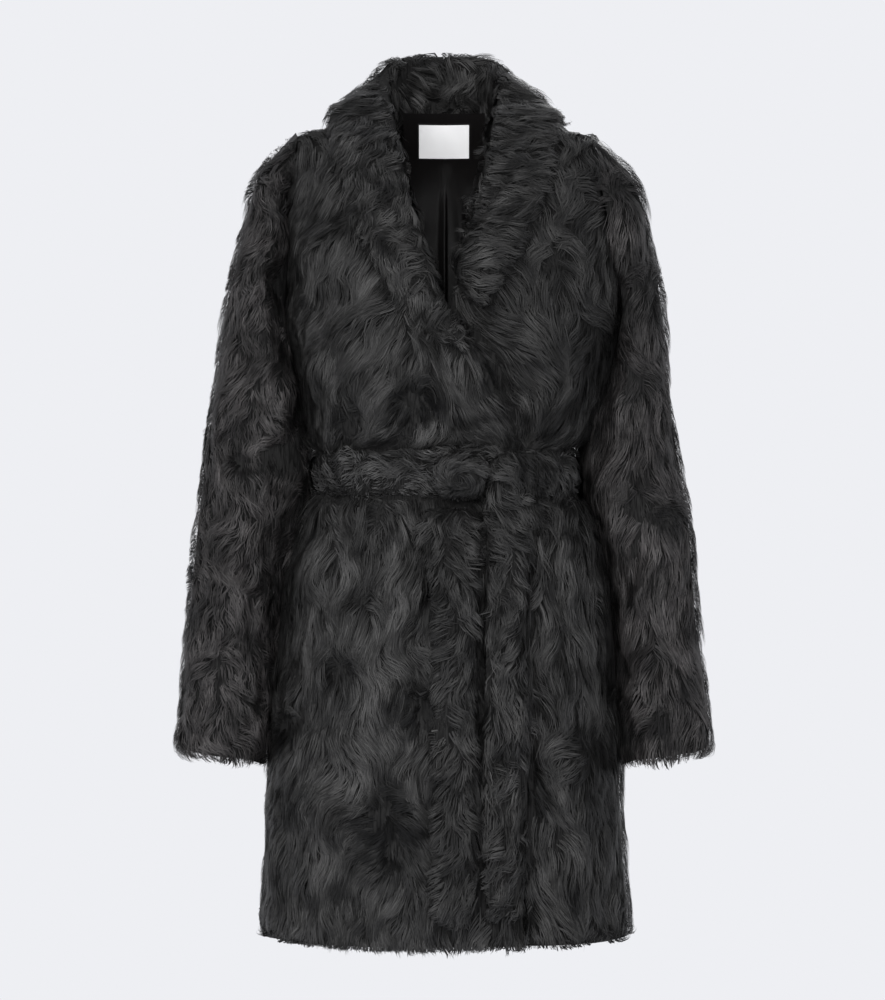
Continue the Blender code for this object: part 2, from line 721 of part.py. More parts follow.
def collar_section(side, row, seam_direction):
    """The collar cut across: round the fold, over the leaf to its edge, and back beneath it.

    The left half's lower end lies on its front instead of wrapping round the edge.
    """
    laid = smooth(LAID_FROM, LAID_TO, row.seam_down) if side > 0 else 0.0
    thick = row.radius * LEAF_SHARE
    roll = np.array([side * row.roll_x, row.roll_y - thick * laid, row.roll_z])
    seam, seam_normal = collar_panel_point(side, row.seam_x, row.seam_down)
    edge, edge_normal = collar_panel_point(side, row.edge_x, row.edge_down)
    out = unit(edge - roll)
    up = unit(seam_normal - (seam_normal @ out) * out)
    rise = NECK_RISE + (FUR_CLEARANCE + 2 - NECK_RISE) * laid
    seam = seam + seam_direction * NECK_GAP + seam_normal * rise
    pelt = seam + seam_direction * 3 * laid - seam_normal * wall_at(seam[2]) * 0.9 * (1 - laid)
    r = row.radius
    fold = [roll + r * (math.cos(a) * up + math.sin(a) * out) for a in FOLD_ANGLES]
    tip = edge + edge_normal * (FUR_CLEARANCE + thick)
    peak = (fold[-1] + tip) / 2 + up * row.bulge * 2
    leaf = [
        (1 - t) ** 2 * fold[-1] + 2 * t * (1 - t) * peak + t * t * tip for t in (0.25, 0.5, 0.75, 1)
    ]
    rim = edge + edge_normal * FUR_CLEARANCE + unit(edge - seam) * thick * 0.25
    under = []
    for share in (0.75, 0.5, 0.25):
        x = row.seam_x + (row.edge_x - row.seam_x) * share
        down = row.seam_down + (row.edge_down - row.seam_down) * share
        point, normal = collar_panel_point(side, x, down)
        under.append(point + normal * (FUR_CLEARANCE + 2 * smooth(0.75, 0.95, down)))
    return np.array([pelt, (pelt + fold[0]) / 2, *fold, *leaf, rim, *under, seam])


def build_collar(name, side, ends):
    rows = COLLAR + ends
    sections = []
    for i in range(COLLAR_STATIONS + 1):
        share = i / COLLAR_STATIONS
        row = read_collar(rows, share)
        seam, normal = collar_panel_point(side, row.seam_x, row.seam_down)
        edge, _ = collar_panel_point(side, row.edge_x, row.edge_down)
        inward = seam - edge
        direction = unit(inward - (inward @ normal) * normal)
        section = collar_section(side, row, direction)
        if i == 0:
            section[:, 0] = side * SEAM_GAP / 2
        sections.append(section)
    return add_bar(name, sections, BODY_FUR)


# ---------------------------------------------------------------- belt
def waist_point(angle, height):
    """A point of the trunk's surface at an angle from the front, and its outward direction."""
    side = 1 if math.sin(angle) >= 0 else -1
    facing = 1 if math.cos(angle) >= 0 else -1
    across, forward = abs(math.sin(angle)), abs(math.cos(angle))
    radius = (across**SQUARENESS + forward**SQUARENESS) ** (-1 / SQUARENESS)
    half = side_width(side, height)
    depth = (read_table(TRUNK, "back", height) - read_table(TRUNK, "front", height)) / 2
    x, y = side * half * radius * across, -facing * depth * radius * forward
    normal = unit(
        np.array(
            [
                side * (abs(x) / half) ** (SQUARENESS - 1) / half,
                -facing * (abs(y) / depth) ** (SQUARENESS - 1) / depth,
                0,
            ]
        )
    )
    return np.array([x, y + middle_y(height), height]), normal


def belt_thickness(angle):
    """The band is rumpled, most of all on the wearer's left."""
    rumple = 1.2 * math.sin(9 * angle + 0.8) + 0.8 * math.sin(17 * angle)
    return BELT_THICK + rumple * (1.6 if 0.3 < angle < 1.4 else 1.0)


def build_belt_band():
    sections = []
    for i in range(BELT_STEPS):
        angle = 2 * math.pi * i / BELT_STEPS
        thick = belt_thickness(angle)
        shift = 2.0 * math.sin(3 * angle + 1.0)
        middle = (BELT_TOP + BELT_BOTTOM) / 2 + shift
        half = (BELT_TOP - BELT_BOTTOM) / 2 - 2
        inner, outer = [], []
        for share in (1.0, 0.0, -1.0):
            point, normal = waist_point(angle, middle + half * share)
            inner.append(point + normal * LAYER_GAP)
        for share, part in ((-1.06, 0.5), (-0.62, 1.0), (0.0, 1.12), (0.62, 1.0), (1.06, 0.5)):
            point, normal = waist_point(angle, middle + half * share)
            outer.append(point + normal * (LAYER_GAP + thick * part))
        sections.append(np.array(inner + outer))
    return add_bar("belt_band", sections, BODY_FUR, closed=True)


def belt_front_y(x, height, extra):
    """y of the coat's front at a place, moved out by the belt's layers."""
    return trunk_y(x, height, 1) - extra


def build_knot():
    """A soft round knot with a swirl pressed into its fur, on a back that fits the band."""
    rings, steps = 6, 18
    back = OVER_BAND
    front_points, back_points = [], []
    for ring in range(rings + 1):
        reach = ring / rings
        for step in range(steps):
            turn = 2 * math.pi * step / steps
            wobble = 1 + 0.06 * math.sin(2 * turn + 0.7) + 0.04 * math.sin(5 * turn)
            x = KNOT_X + KNOT_RADIUS * reach * wobble * math.cos(turn) * 1.04
            z = KNOT_Z + KNOT_RADIUS * reach * wobble * math.sin(turn)
            swirl = 2.4 * math.sin(turn - 5.2 * reach) * reach * (1 - reach) * 4
            dome = (KNOT_HEIGHT - back * 0.2) * math.sqrt(max(1 - reach**2.6, 0.0)) + swirl
            base = belt_front_y(x, KNOT_Z, back)
            front_points.append(np.array([x, base - 5 - max(dome, 0), z]))
            back_points.append(np.array([x, base, z]))
            if ring == 0:
                break
    front_points[0][1] += 4.0
    size = len(front_points)

    def at(ring, step, layer):
        return layer * size + (0 if ring == 0 else 1 + (ring - 1) * steps + step % steps)

    faces = []
    for step in range(steps):
        for layer in (0, 1):
            faces.append([at(0, 0, layer), at(1, step, layer), at(1, step + 1, layer)])
            for ring in range(1, rings):
                square = [
                    at(ring, step, layer),
                    at(ring + 1, step, layer),
                    at(ring + 1, step + 1, layer),
                    at(ring, step + 1, layer),
                ]
                faces.append(square)
        faces.append(
            [at(rings, step, 0), at(rings, step, 1), at(rings, step + 1, 1), at(rings, step + 1, 0)]
        )
    return add_object("belt_knot", front_points + back_points, faces, BODY_FUR)


def build_belt_end(name, hangs, over_band, lean):
    """A hanging end: a soft strip on the coat's front, its edges rounded and a little uneven."""
    heights = [hangs[0].height, (hangs[0].height + hangs[1].height) / 2]
    step_count = round((hangs[1].height - hangs[-1].height) / 22)
    drop = (hangs[1].height - hangs[-1].height) / step_count
    heights += [hangs[1].height - drop * i for i in range(step_count)]
    heights += [hangs[-1].height + 4, hangs[-1].height]
    sections = []
    for height in heights:
        left = read_table(hangs, "left", height)
        right = read_table(hangs, "right", height)
        wave = 1.6 * math.sin(height / 31 + lean) + 1.0 * math.sin(height / 13.0 + 2 * lean)
        lift = (OVER_BAND if over_band else 3.5) * smooth(-452, -408, height)
        under = LAYER_GAP + 0.4 + lift
        ends = min(1.0, (heights[0] - height + 5) / 16, (height - heights[-1] + 5) / 16)
        thick = (END_THICK + wave) * (0.45 + 0.55 * smooth(0, 1, ends))
        inner, outer = [], []
        for share in (0.0, 0.5, 1.0):
            x = left + 3 + (right - left - 6) * share
            y = belt_front_y(x, height, under)
            inner.append(np.array([x, y, height]))
        for share, part in ((1.0, 0.45), (0.86, 0.88), (0.5, 1.0), (0.14, 0.88), (0.0, 0.45)):
            x = left + (right - left) * share
            y = belt_front_y(x, height, under + thick * part)
            outer.append(np.array([x, y, height]))
        sections.append(np.array(inner + outer))
    return add_bar(name, sections, BODY_FUR)


# ---------------------------------------------------------------- lining and label
def back_y_at(x, height):
    """y of the back's even surface at a place seen from the front."""
    low, high = 0.0, 3.0
    for _ in range(30):
        middle = (low + high) / 2
        if coat_point(x, middle, -1)[2] > height:
            low = middle
        else:
            high = middle
    return coat_point(x, low, -1)[1], coat_normal(x, low, -1)[1]


def lining_point(x, height, inward=0.0):
    """A point of the lining's face towards the back, or further in, with its centre pleat."""
    y, facing = back_y_at(x, min(height, LINING_UPRIGHT))
    pleat = PLEAT_DEPTH * math.exp(-(((x - PLEAT_X) / 6) ** 2)) * (
        1 - smooth(PLEAT_TOP - 22, PLEAT_TOP, height)
    )
    lean = LINING_LEAN * max(height - LINING_UPRIGHT, 0.0)
    depth = (wall_at(height) + LINING_SPACE) / max(facing, 0.5) + pleat + lean
    return np.array([x, y - depth - inward, height])


def add_inside_patch(name, xs_at, heights, inward, thickness, finish):
    """A thin piece inside the back, between two faces a thickness apart."""
    layers = [
        [[lining_point(x, height, depth) for x in xs_at(height)] for height in heights]
        for depth in (inward, inward + thickness)
    ]
    return add_wall(name, np.array(layers[0]), np.array(layers[1]), finish)


def build_lining():
    shares = [i / LINING_COLUMNS for i in range(-LINING_COLUMNS, LINING_COLUMNS + 1)]

    def xs_at(height):
        widening = 1 - smooth(-115, -15, height)
        half = LINING_HALF_TOP + (LINING_HALF - LINING_HALF_TOP) * widening
        return [half * math.copysign(abs(share) ** 1.4, share) for share in shares]

    heights = np.linspace(LINING_TOP, LINING_BOTTOM, LINING_ROWS + 1)
    return add_inside_patch("lining_back", xs_at, heights, 0.0, LINING_THICK, SATIN)


def build_label():
    xs = np.linspace(-LABEL_HALF_WIDTH, LABEL_HALF_WIDTH, 5)
    heights = np.linspace(LABEL_TOP, LABEL_BOTTOM, 4)
    under = LINING_THICK + LAYER_GAP
    return add_inside_patch("label", lambda height: xs, heights, under, LABEL_THICK, LABEL_WHITE)


# ---------------------------------------------------------------- the coat
def clear_scene():
    for old in list(bpy.data.objects):
        bpy.data.objects.remove(old, do_unlink=True)


def build_coat():
    build_back()
    front_panel(
        "front_right", -1, RIGHT_FRONT_COLUMNS, right_front_edge, lambda x, z: 0.0, BODY_FUR
    )
    front_panel("front_left", 1, LEFT_FRONT_COLUMNS, left_front_edge, tuck, BODY_FUR)
    build_sleeve("sleeve_right", -1, RIGHT_SLEEVE, SLEEVE_FUR)
    build_sleeve("sleeve_left", 1, LEFT_SLEEVE, SLEEVE_FUR)
    build_collar("collar_right", -1, RIGHT_COLLAR_END)
    build_collar("collar_left", 1, LEFT_COLLAR_END)
    build_belt_band()
    build_knot()
    build_belt_end("belt_end_right", FIRST_END, over_band=False, lean=0.4)
    build_belt_end("belt_end_left", SECOND_END, over_band=True, lean=2.3)
    build_lining()
    build_label()


clear_scene()
build_coat()
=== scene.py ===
# %% [markdown]
# # A wrap coat of wavy lamb fur
#
# This script dresses the imported solids of a black lamb shearling coat, which is filled out as if worn. Each fur
# piece of the coat becomes two things: a thin dark pelt with satin on its inner side, and a coat of locks, small
# bundles of tapered hairs that lie along a given flow. The solids reach as far as the fur does, so the hairs
# rise from the pelt inside each wall to the wall's own surface.
#
# The frame is in metres: +Z is up, the front faces -Y, and the wearer's right is at -X.

import math
from collections import namedtuple

import bmesh
import bpy
import numpy as np
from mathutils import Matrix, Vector
from mathutils.bvhtree import BVHTree
from mathutils.kdtree import KDTree


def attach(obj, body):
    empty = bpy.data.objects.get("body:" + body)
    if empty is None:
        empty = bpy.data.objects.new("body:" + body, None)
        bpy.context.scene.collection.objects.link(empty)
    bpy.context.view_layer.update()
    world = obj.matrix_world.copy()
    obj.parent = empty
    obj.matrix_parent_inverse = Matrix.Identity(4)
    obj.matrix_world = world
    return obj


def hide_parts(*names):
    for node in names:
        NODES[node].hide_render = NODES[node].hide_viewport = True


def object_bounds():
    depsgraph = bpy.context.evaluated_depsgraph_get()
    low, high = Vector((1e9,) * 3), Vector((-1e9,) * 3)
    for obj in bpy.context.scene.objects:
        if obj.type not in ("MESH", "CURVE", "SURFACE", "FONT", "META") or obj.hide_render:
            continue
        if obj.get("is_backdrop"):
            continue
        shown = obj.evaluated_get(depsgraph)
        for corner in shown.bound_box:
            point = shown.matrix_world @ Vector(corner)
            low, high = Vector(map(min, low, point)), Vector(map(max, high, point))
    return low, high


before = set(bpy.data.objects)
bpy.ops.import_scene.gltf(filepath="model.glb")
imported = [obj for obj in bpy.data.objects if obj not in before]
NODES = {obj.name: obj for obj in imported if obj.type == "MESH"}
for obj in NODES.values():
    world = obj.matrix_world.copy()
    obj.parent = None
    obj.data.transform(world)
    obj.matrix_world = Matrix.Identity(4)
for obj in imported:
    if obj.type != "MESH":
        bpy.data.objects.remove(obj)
MM = 0.001


def show_bounds(title):
    low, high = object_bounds()
    print(title, [round(v, 3) for v in low], [round(v, 3) for v in high])
    return [list(low), list(high)]


packed_bounds = show_bounds("packed model from, to:")

# %% [markdown]
# ## The camera
#
# The photograph looks straight along +Y at the middle of the coat. One pixel of it covers 1.06 mm at the depth of
# the coat's middle, so a place on the coat can be turned into a place in the picture, and the tables of hair
# directions below use the picture's pixels.

# %% Camera and picture places
PIXEL = 1.06 * MM  # at the coat's middle depth
MIDDLE_Y = -0.09
CAMERA = np.array([0.0, -4.09, -0.405])
SENSOR = 24.0  # mm
CENTRE_X, NAPE_Y = 444.0, 118.0  # the picture's column and row of the origin
PICTURE = (885, 1000)


def into_scene(name, data):
    thing = bpy.data.objects.new(name, data)
    bpy.context.scene.collection.objects.link(thing)
    return thing


def picture_place(points):
    """The column and row of the photograph where each point of the coat shows."""
    nearer = (MIDDLE_Y - CAMERA[1]) / (points[:, 1] - CAMERA[1])
    column = CENTRE_X + points[:, 0] * nearer / PIXEL
    row = NAPE_Y - (CAMERA[2] + (points[:, 2] - CAMERA[2]) * nearer) / PIXEL
    return np.stack([column, row], axis=1)


def make_camera():
    data = bpy.data.cameras.new("camera")
    data.sensor_fit = "AUTO"
    data.sensor_width = SENSOR
    data.lens = SENSOR * (MIDDLE_Y - CAMERA[1]) / (PICTURE[1] * PIXEL)
    data.shift_x = (PICTURE[0] / 2 - CENTRE_X) / PICTURE[1]
    camera = into_scene("camera", data)
    camera.location = CAMERA
    camera.rotation_euler = (math.radians(90), 0, 0)
    bpy.context.scene.camera = camera
    print("camera:", round(data.lens, 1), "mm lens,", round(MIDDLE_Y - CAMERA[1], 2), "m from the coat's middle")


make_camera()

# %% [markdown]
# ## Sizes of the fur
#
# Every fur piece has one row: how many hairs it carries, how long they are in mm, how deep the fur is above the pelt,
# how many degrees the locks wander off the flow and wave, and the fur's colour. Particle hair would be quicker to
# set up, but it isn't a mesh. Ribbons of a few faces are, and a table keeps them under the limit on triangles.

# %% Fur table
Fur = namedtuple("Fur", "hairs length depth wander wave tone")
BODY = (0.0232, 0.0228, 0.0223)
SLEEVE = (0.0318, 0.0296, 0.0293)
# The belt's fur is painted lighter than the body's: painted light against the shade that the body casts on it.
BELT = (0.0312, 0.0308, 0.0304)
FURS = {
    "back": Fur(31000, 36, 4.5, 5, 6, BODY),
    "front_right": Fur(39000, 34, 4.2, 4, 6, BODY),
    "front_left": Fur(24000, 34, 4.2, 4, 6, BODY),
    "sleeve_right": Fur(27000, 22, 3.6, 9, 18, SLEEVE),
    "sleeve_left": Fur(26000, 27, 3.6, 4, 6, SLEEVE),
    "collar_right": Fur(13500, 27, 4.5, 9, 20, BODY),
    "collar_left": Fur(13500, 27, 4.5, 8, 18, BODY),
    "belt_band": Fur(7000, 20, 4.0, 14, 16, BELT),
    "belt_knot": Fur(2600, 26, 6.5, 12, 12, BELT),
    "belt_end_right": Fur(4800, 22, 4.0, 14, 14, BODY),
    "belt_end_left": Fur(4800, 22, 4.0, 18, 16, BODY),
}
WISP_WIDTH, HAIR_WIDTH = 1.7, 0.66  # mm
HAIR_PART = 0.88  # the part of the fur that is single hairs; the rest is wisps of several
HAIR_STIFFNESS, SPARE_HEIGHT = 0.6, 3 * MM  # how much of a dent a hair bridges, and at most
HAIRS_IN_A_LOCK = 16
CLUMPING = 0.22  # how far the tips of a lock draw together
STEPS = 3  # lengths that one hair bends in
SHARES = np.arange(STEPS + 1) / STEPS
# How high a hair is at each step, from the pelt (0) to the wall's surface (1), and how wide it is.
RISE = np.array([0.0, 0.9, 1.08, 0.86])
TAPER = np.array([0.7, 1.0, 0.7, 0.0])
TONES_ACROSS, WISPS_DOWN = 16, 4  # cells of the map that all hairs share
LEAST_TONE, MOST_TONE = 0.12, 2.2  # the fur's colour times this, in the map's first and last column
LEAST_DEPTH = 1.5 * MM  # of the hairs on a place where the pelt fills a gap
SUNK = {"belt_knot": 3.0, "collar_right": 1.2, "collar_left": 1.2}  # mm; fur that lies lower than its wall
print("hairs planned:", sum(fur.hairs for fur in FURS.values()), "on", len(FURS), "pieces")

# %% [markdown]
# ## Reading the solids
#
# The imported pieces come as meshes. Corners that lie in one place are welded here, and each piece gets a tree, which
# finds the nearest face or the face that a ray meets. Trees tell what lies over a place much faster than a search
# through all faces.

# %% Solids and what covers them
TRUNK_NODES = ("back", "front_right", "front_left")
SLEEVE_NODES = ("sleeve_right", "sleeve_left")
COLLAR_NODES = ("collar_right", "collar_left")
BROAD_NODES = TRUNK_NODES + SLEEVE_NODES
WELD_DIGITS = 5  # of a metre
CLEAR, GAP_CLEAR = 0.0002, 0.0004  # m that a ray starts off its face


def unit(vectors):
    return vectors / np.maximum(np.linalg.norm(vectors, axis=-1, keepdims=True), 1e-12)


def smooth(low, high, value):
    share = np.clip((value - low) / (high - low), 0.0, 1.0)
    return share * share * (3 - 2 * share)


def hump(value, middle, reach):
    return np.exp(-(((value - middle) / reach) ** 2))


def read_mesh(node):
    """Welded points and triangles of a CAD node."""
    mesh = NODES[node].data
    mesh.calc_loop_triangles()
    points = np.zeros(len(mesh.vertices) * 3)
    mesh.vertices.foreach_get("co", points)
    faces = np.zeros(len(mesh.loop_triangles) * 3, int)
    mesh.loop_triangles.foreach_get("vertices", faces)
    points = points.reshape(-1, 3)
    _, first, index = np.unique(np.round(points, WELD_DIGITS), axis=0, return_index=True, return_inverse=True)
    a, b, c = index.reshape(-1)[faces].reshape(-1, 3).T
    whole = (a != b) & (b != c) & (a != c)
    return points[first], np.stack([a, b, c], axis=1)[whole]


MESHES = {node: read_mesh(node) for node in NODES}
TREES = {
    node: BVHTree.FromPolygons([Vector(p) for p in points], faces.tolist())
    for node, (points, faces) in MESHES.items()
}


def is_covered(node, places, normals, reach, facing, by=tuple(NODES)):
    """True where another piece lies so close over the skin, face to face, that no fur can stand there."""
    hidden = np.zeros(len(places), bool)
    starts = (places + normals * CLEAR).tolist()
    ways = normals.tolist()
    low, high = places.min(axis=0) - reach, places.max(axis=0) + reach
    for other, tree in TREES.items():
        span = MESHES[other][0]
        apart = (span.min(axis=0) > high).any() or (span.max(axis=0) < low).any()
        if other == node or other not in by or apart:
            continue
        for i, (start, way) in enumerate(zip(starts, ways)):
            if not hidden[i]:
                _, normal, _, _ = tree.ray_cast(start, way, reach)
                hidden[i] = normal is not None and normal.dot(way) < -facing
    return hidden


print("corners and triangles:", {node: (len(points), len(faces)) for node, (points, faces) in MESHES.items()})

# %% [markdown]
# ## The depth of the fur
#
# The fur is 4 mm deep or so, and less where a wall is thin. Lamb fur also swells into narrow gaps, so that no light
# shows between a sleeve and the body or over the belt. There the depth is negative: the pelt itself moves out.

# %% Depth of the fur
CORE_WIDTH, CORE_Y, CORE_TOP = 0.3, -0.082, -0.2  # the body's middle: share of x, depth, and its upper end
THIN_SHARE = 0.55  # the most of a thin wall that its fur takes up
NARROW, NARROW_SHARE, MOST_OUT = 0.016, 0.42, 0.005  # a gap this narrow is filled by the fur on both its sides
# Where the fur swells, as heights and reaches in mm: the sleeves' inner sides, over and under the belt.
SLEEVE_SWELL, OVER_BELT, UNDER_BELT = (-364, 60), (-350, 18), (-406, 13)
SLEEVE_OUT, FRONT_OUT, SIDE_OUT = 13.0, 5.0, 12.0  # mm


def core_of(node, points):
    """The middle of the body or sleeve beside each point, or None for a piece with fur all round."""
    height = points[:, 2]
    if node in TRUNK_NODES:
        depth = np.full(len(points), CORE_Y)
        return np.stack([points[:, 0] * CORE_WIDTH, depth, np.minimum(height, CORE_TOP)], axis=1)
    if node in SLEEVE_NODES:
        line = [np.polyfit(height, points[:, axis], 3) for axis in (0, 1)]
        return np.stack([np.polyval(line[0], height), np.polyval(line[1], height), height], axis=1)
    return None


def wall_depths(node, places, normals, depth):
    """The depth of fur at each place: the piece's own, or a part of the wall where that is thin."""
    tree, depths = TREES[node], np.full(len(places), depth)
    for i, (place, way) in enumerate(zip((places - normals * CLEAR).tolist(), (-normals).tolist())):
        distance = tree.ray_cast(place, way, 2 * depth)[3]
        if distance is not None:
            depths[i] = min(depth, THIN_SHARE * distance)
    return depths


def gap_depths(node, places, normals, depths):
    """The depths, made negative where another piece stands just across a narrow gap, so that the fur fills it."""
    filled = depths.copy()
    for other, tree in TREES.items():
        if other == node or "belt" in other or "belt" in node:
            continue
        for i, (place, way) in enumerate(zip((places + normals * GAP_CLEAR).tolist(), normals.tolist())):
            _, normal, _, distance = tree.ray_cast(place, way, NARROW)
            if normal is not None and normal.dot(way) < -0.5:
                filled[i] = min(filled[i], -min(NARROW_SHARE * distance, MOST_OUT))
    return filled


def waist_filling(node, points, normals):
    """How far the fur swells out, in mm, where the belt squeezes it and where the sleeves hang beside it."""
    height = points[:, 2] / MM
    if node in SLEEVE_NODES:
        inward = -normals[:, 0] * np.sign(points[:, 0].mean())
        return SLEEVE_OUT * smooth(0.5, 0.9, inward) * hump(height, *SLEEVE_SWELL)
    beside_belt = hump(height, *OVER_BELT) + hump(height, *UNDER_BELT)
    return (FRONT_OUT + SIDE_OUT * smooth(0.5, 0.9, np.abs(normals[:, 0]))) * beside_belt


print("depth of the fur, in mm:", {node: fur.depth for node, fur in FURS.items()})

# %% [markdown]
# ## Skins
#
# A skin is one node's surface: its welded points, smooth directions, and triangles that carry fur. The coat's inner
# faces carry none. They are told from the outer ones by whether they look away from the middle of the body or
# sleeve. Faces pressed against a neighbour are seams and stay bare too, because hair there would poke through.

# %% Skins
Skin = namedtuple("Skin", "points normals faces tree inner depths all_faces")
INWARD = -0.25  # a face that looks this much towards the middle is an inner one
SEAM_REACH, SEAM_FACING = 0.0012, 0.85  # a face that looks straight at another piece this near is a seam


def corner_normals(points, faces, across, furred):
    """The mean direction of the furred triangles at each corner, or of all where none is furred."""
    normals, whole = np.zeros_like(points), np.zeros_like(points)
    for corner in range(3):
        np.add.at(normals, faces[furred][:, corner], across[furred])
        np.add.at(whole, faces[:, corner], across)
    bare = np.linalg.norm(normals, axis=1) < 1e-12
    normals[bare] = whole[bare]
    return unit(normals)


def make_skin(node):
    points, faces = MESHES[node]
    corners = points[faces]
    across = np.cross(corners[:, 1] - corners[:, 0], corners[:, 2] - corners[:, 0])
    centres = corners.mean(axis=1)
    core = core_of(node, centres)
    inner = np.zeros(len(faces), bool)
    if core is not None:
        inner = (unit(across) * unit(centres - core)).sum(axis=1) < INWARD
    furred = ~(inner | is_covered(node, centres, unit(across), SEAM_REACH, SEAM_FACING))
    normals = corner_normals(points, faces, across, furred)
    depths = wall_depths(node, points, normals, FURS[node].depth * MM if node in FURS else 0.0)
    if node in BROAD_NODES:
        depths = gap_depths(node, points, normals, depths)
        depths -= waist_filling(node, points, normals) * MM
    moved = np.zeros(len(points), bool)
    moved[faces[furred].ravel()] = True
    tree = BVHTree.FromPolygons([Vector(p) for p in points], faces[furred].tolist())
    return Skin(points, normals, faces[furred], tree, inner, np.where(moved, depths, 0), faces)


SKINS = {node: make_skin(node) for node in NODES}
print("skins:", {node: (len(s.points), len(s.faces)) for node, s in SKINS.items()})

# %% [markdown]
# ## Finding places on a skin
#
# The solids are coarse. A place on a triangle is pulled onto the smooth surface that the corners' directions imply,
# which gives a round outline without cutting the mesh finer.

# %% Places
FLAT, ROUND = 0.35, 0.65  # shares of the triangle and the smooth surface


def triangle_areas(skin):
    corners = skin.points[skin.faces]
    return np.linalg.norm(np.cross(corners[:, 1] - corners[:, 0], corners[:, 2] - corners[:, 0]), axis=1)


def rounded(skin, places, face_index):
    """Places moved onto the smooth surface, with its direction there."""
    corners = skin.points[skin.faces[face_index]]
    turns = skin.normals[skin.faces[face_index]]
    side_b, side_c = corners[:, 1] - corners[:, 0], corners[:, 2] - corners[:, 0]
    from_a = places - corners[:, 0]
    bb, bc, cc = (side_b * side_b).sum(1), (side_b * side_c).sum(1), (side_c * side_c).sum(1)
    pb, pc = (from_a * side_b).sum(1), (from_a * side_c).sum(1)
    below = np.maximum(bb * cc - bc * bc, 1e-18)
    share_b = np.clip((cc * pb - bc * pc) / below, 0, 1)
    share_c = np.clip((bb * pc - bc * pb) / below, 0, 1)
    shares = np.stack([1 - share_b - share_c, share_b, share_c], axis=1).clip(0, 1)
    shares /= shares.sum(axis=1, keepdims=True)
    gaps = ((places[:, None] - corners) * turns).sum(axis=2, keepdims=True)
    on_planes = places[:, None] - gaps * turns
    curved = (on_planes * shares[:, :, None]).sum(axis=1)
    normals = unit((turns * shares[:, :, None]).sum(axis=1))
    return places * FLAT + curved * ROUND, normals


def scatter(skin, count, rng):
    """Random places on the furred triangles, by area, with the directions and the fur's depth there."""
    areas = triangle_areas(skin)
    chosen = rng.choice(len(areas), count, p=areas / areas.sum())
    a, b = rng.random(count), rng.random(count)
    flip = a + b > 1
    a[flip], b[flip] = 1 - a[flip], 1 - b[flip]
    picked = skin.points[skin.faces[chosen]]
    side_b, side_c = picked[:, 1] - picked[:, 0], picked[:, 2] - picked[:, 0]
    places = picked[:, 0] + a[:, None] * side_b + b[:, None] * side_c
    at_a, at_b, at_c = skin.depths[skin.faces[chosen]].T
    depths = at_a + a * (at_b - at_a) + b * (at_c - at_a)
    return *rounded(skin, places, chosen), depths


def landed(skin, places, spare):
    """Places moved straight towards the skin, with its direction. Above it they keep up to a spare height."""
    found = [skin.tree.find_nearest(place) for place in places.tolist()]
    nearest = np.array([hit[0] for hit in found])
    index = np.array([hit[2] for hit in found])
    curved, normals = rounded(skin, nearest, index)
    above = ((places - curved) * normals).sum(axis=1, keepdims=True)
    kept = np.clip(above * HAIR_STIFFNESS, 0, spare)
    return places + (kept - above) * normals, normals


print("furred, in square metres:", {node: round(triangle_areas(SKINS[node]).sum() / 2, 3) for node in FURS})

# %% [markdown]
# ## Combs
#
# The nap runs down the coat, and in many places the photograph shows it running another way. A comb is such a
# place: its column and row in the photograph, its reach in pixels, and the way the hair points. There 0 is down and
# 90 is to the right of the picture. A painted picture would fix the coat's looks from one side only. Tables of
# directions work from every side, so they stand here instead.

# %% Combs
Comb = namedtuple("Comb", "column row reach angle")
COMBS = [Comb(*row) for row in (
    (325, 215, 30, -25), (318, 330, 28, -75), (350, 345, 26, -50),
    (385, 330, 24, -35), (420, 330, 22, 15), (505, 330, 24, 80),
    (530, 365, 26, 85), (560, 300, 26, 25), (552, 405, 24, -30),
    (500, 410, 20, 70), (585, 330, 22, -10), (320, 400, 24, 10),
    (450, 380, 20, -20), (492, 318, 16, 62), (372, 440, 20, -85), (470, 430, 18, 40),
    (300, 555, 22, -30), (335, 570, 24, 10), (385, 545, 18, 35),
    (410, 590, 18, -15), (370, 620, 22, 20), (300, 640, 26, -10),
    (340, 700, 28, -25), (380, 700, 24, 20), (295, 770, 30, -55),
    (330, 800, 26, -60), (385, 770, 24, 0), (285, 860, 30, -20),
    (345, 900, 26, 15), (420, 860, 24, 30), (430, 780, 20, -20),
    (570, 560, 26, -18), (590, 620, 24, 12), (555, 700, 24, 25),
    (590, 740, 24, -40), (560, 800, 24, 30), (600, 860, 26, -15),
    (545, 870, 22, 20), (540, 610, 18, 5),
    (225, 300, 26, 15), (250, 380, 24, -30), (225, 480, 26, 35),
    (260, 560, 24, -25), (215, 620, 26, -35), (250, 660, 24, 30),
    (205, 700, 24, 20), (245, 730, 20, 80), (640, 240, 28, -15),
    (650, 340, 26, 20), (640, 440, 26, -15), (680, 560, 26, 8),
    (650, 640, 28, -8), (690, 690, 24, 10), (660, 740, 20, 25),
)]  # fmt: skip
COLLAR_COMBS = [Comb(*row) for row in (
    (360, 95, 24, -60), (350, 140, 24, -30), (370, 180, 22, 30),
    (345, 200, 20, -15), (395, 230, 20, -35), (380, 270, 20, 25),
    (420, 290, 16, 10), (520, 100, 20, 75), (540, 130, 20, 95),
    (500, 150, 20, 60), (525, 185, 22, 100), (500, 220, 22, 95),
    (510, 255, 18, 55), (480, 270, 20, 85), (470, 305, 16, 15),
    (420, 85, 20, 100), (470, 80, 18, -60), (440, 70, 18, 70),
)]  # fmt: skip
print("combs:", len(COMBS), "on the body and sleeves,", len(COLLAR_COMBS), "on the collar")
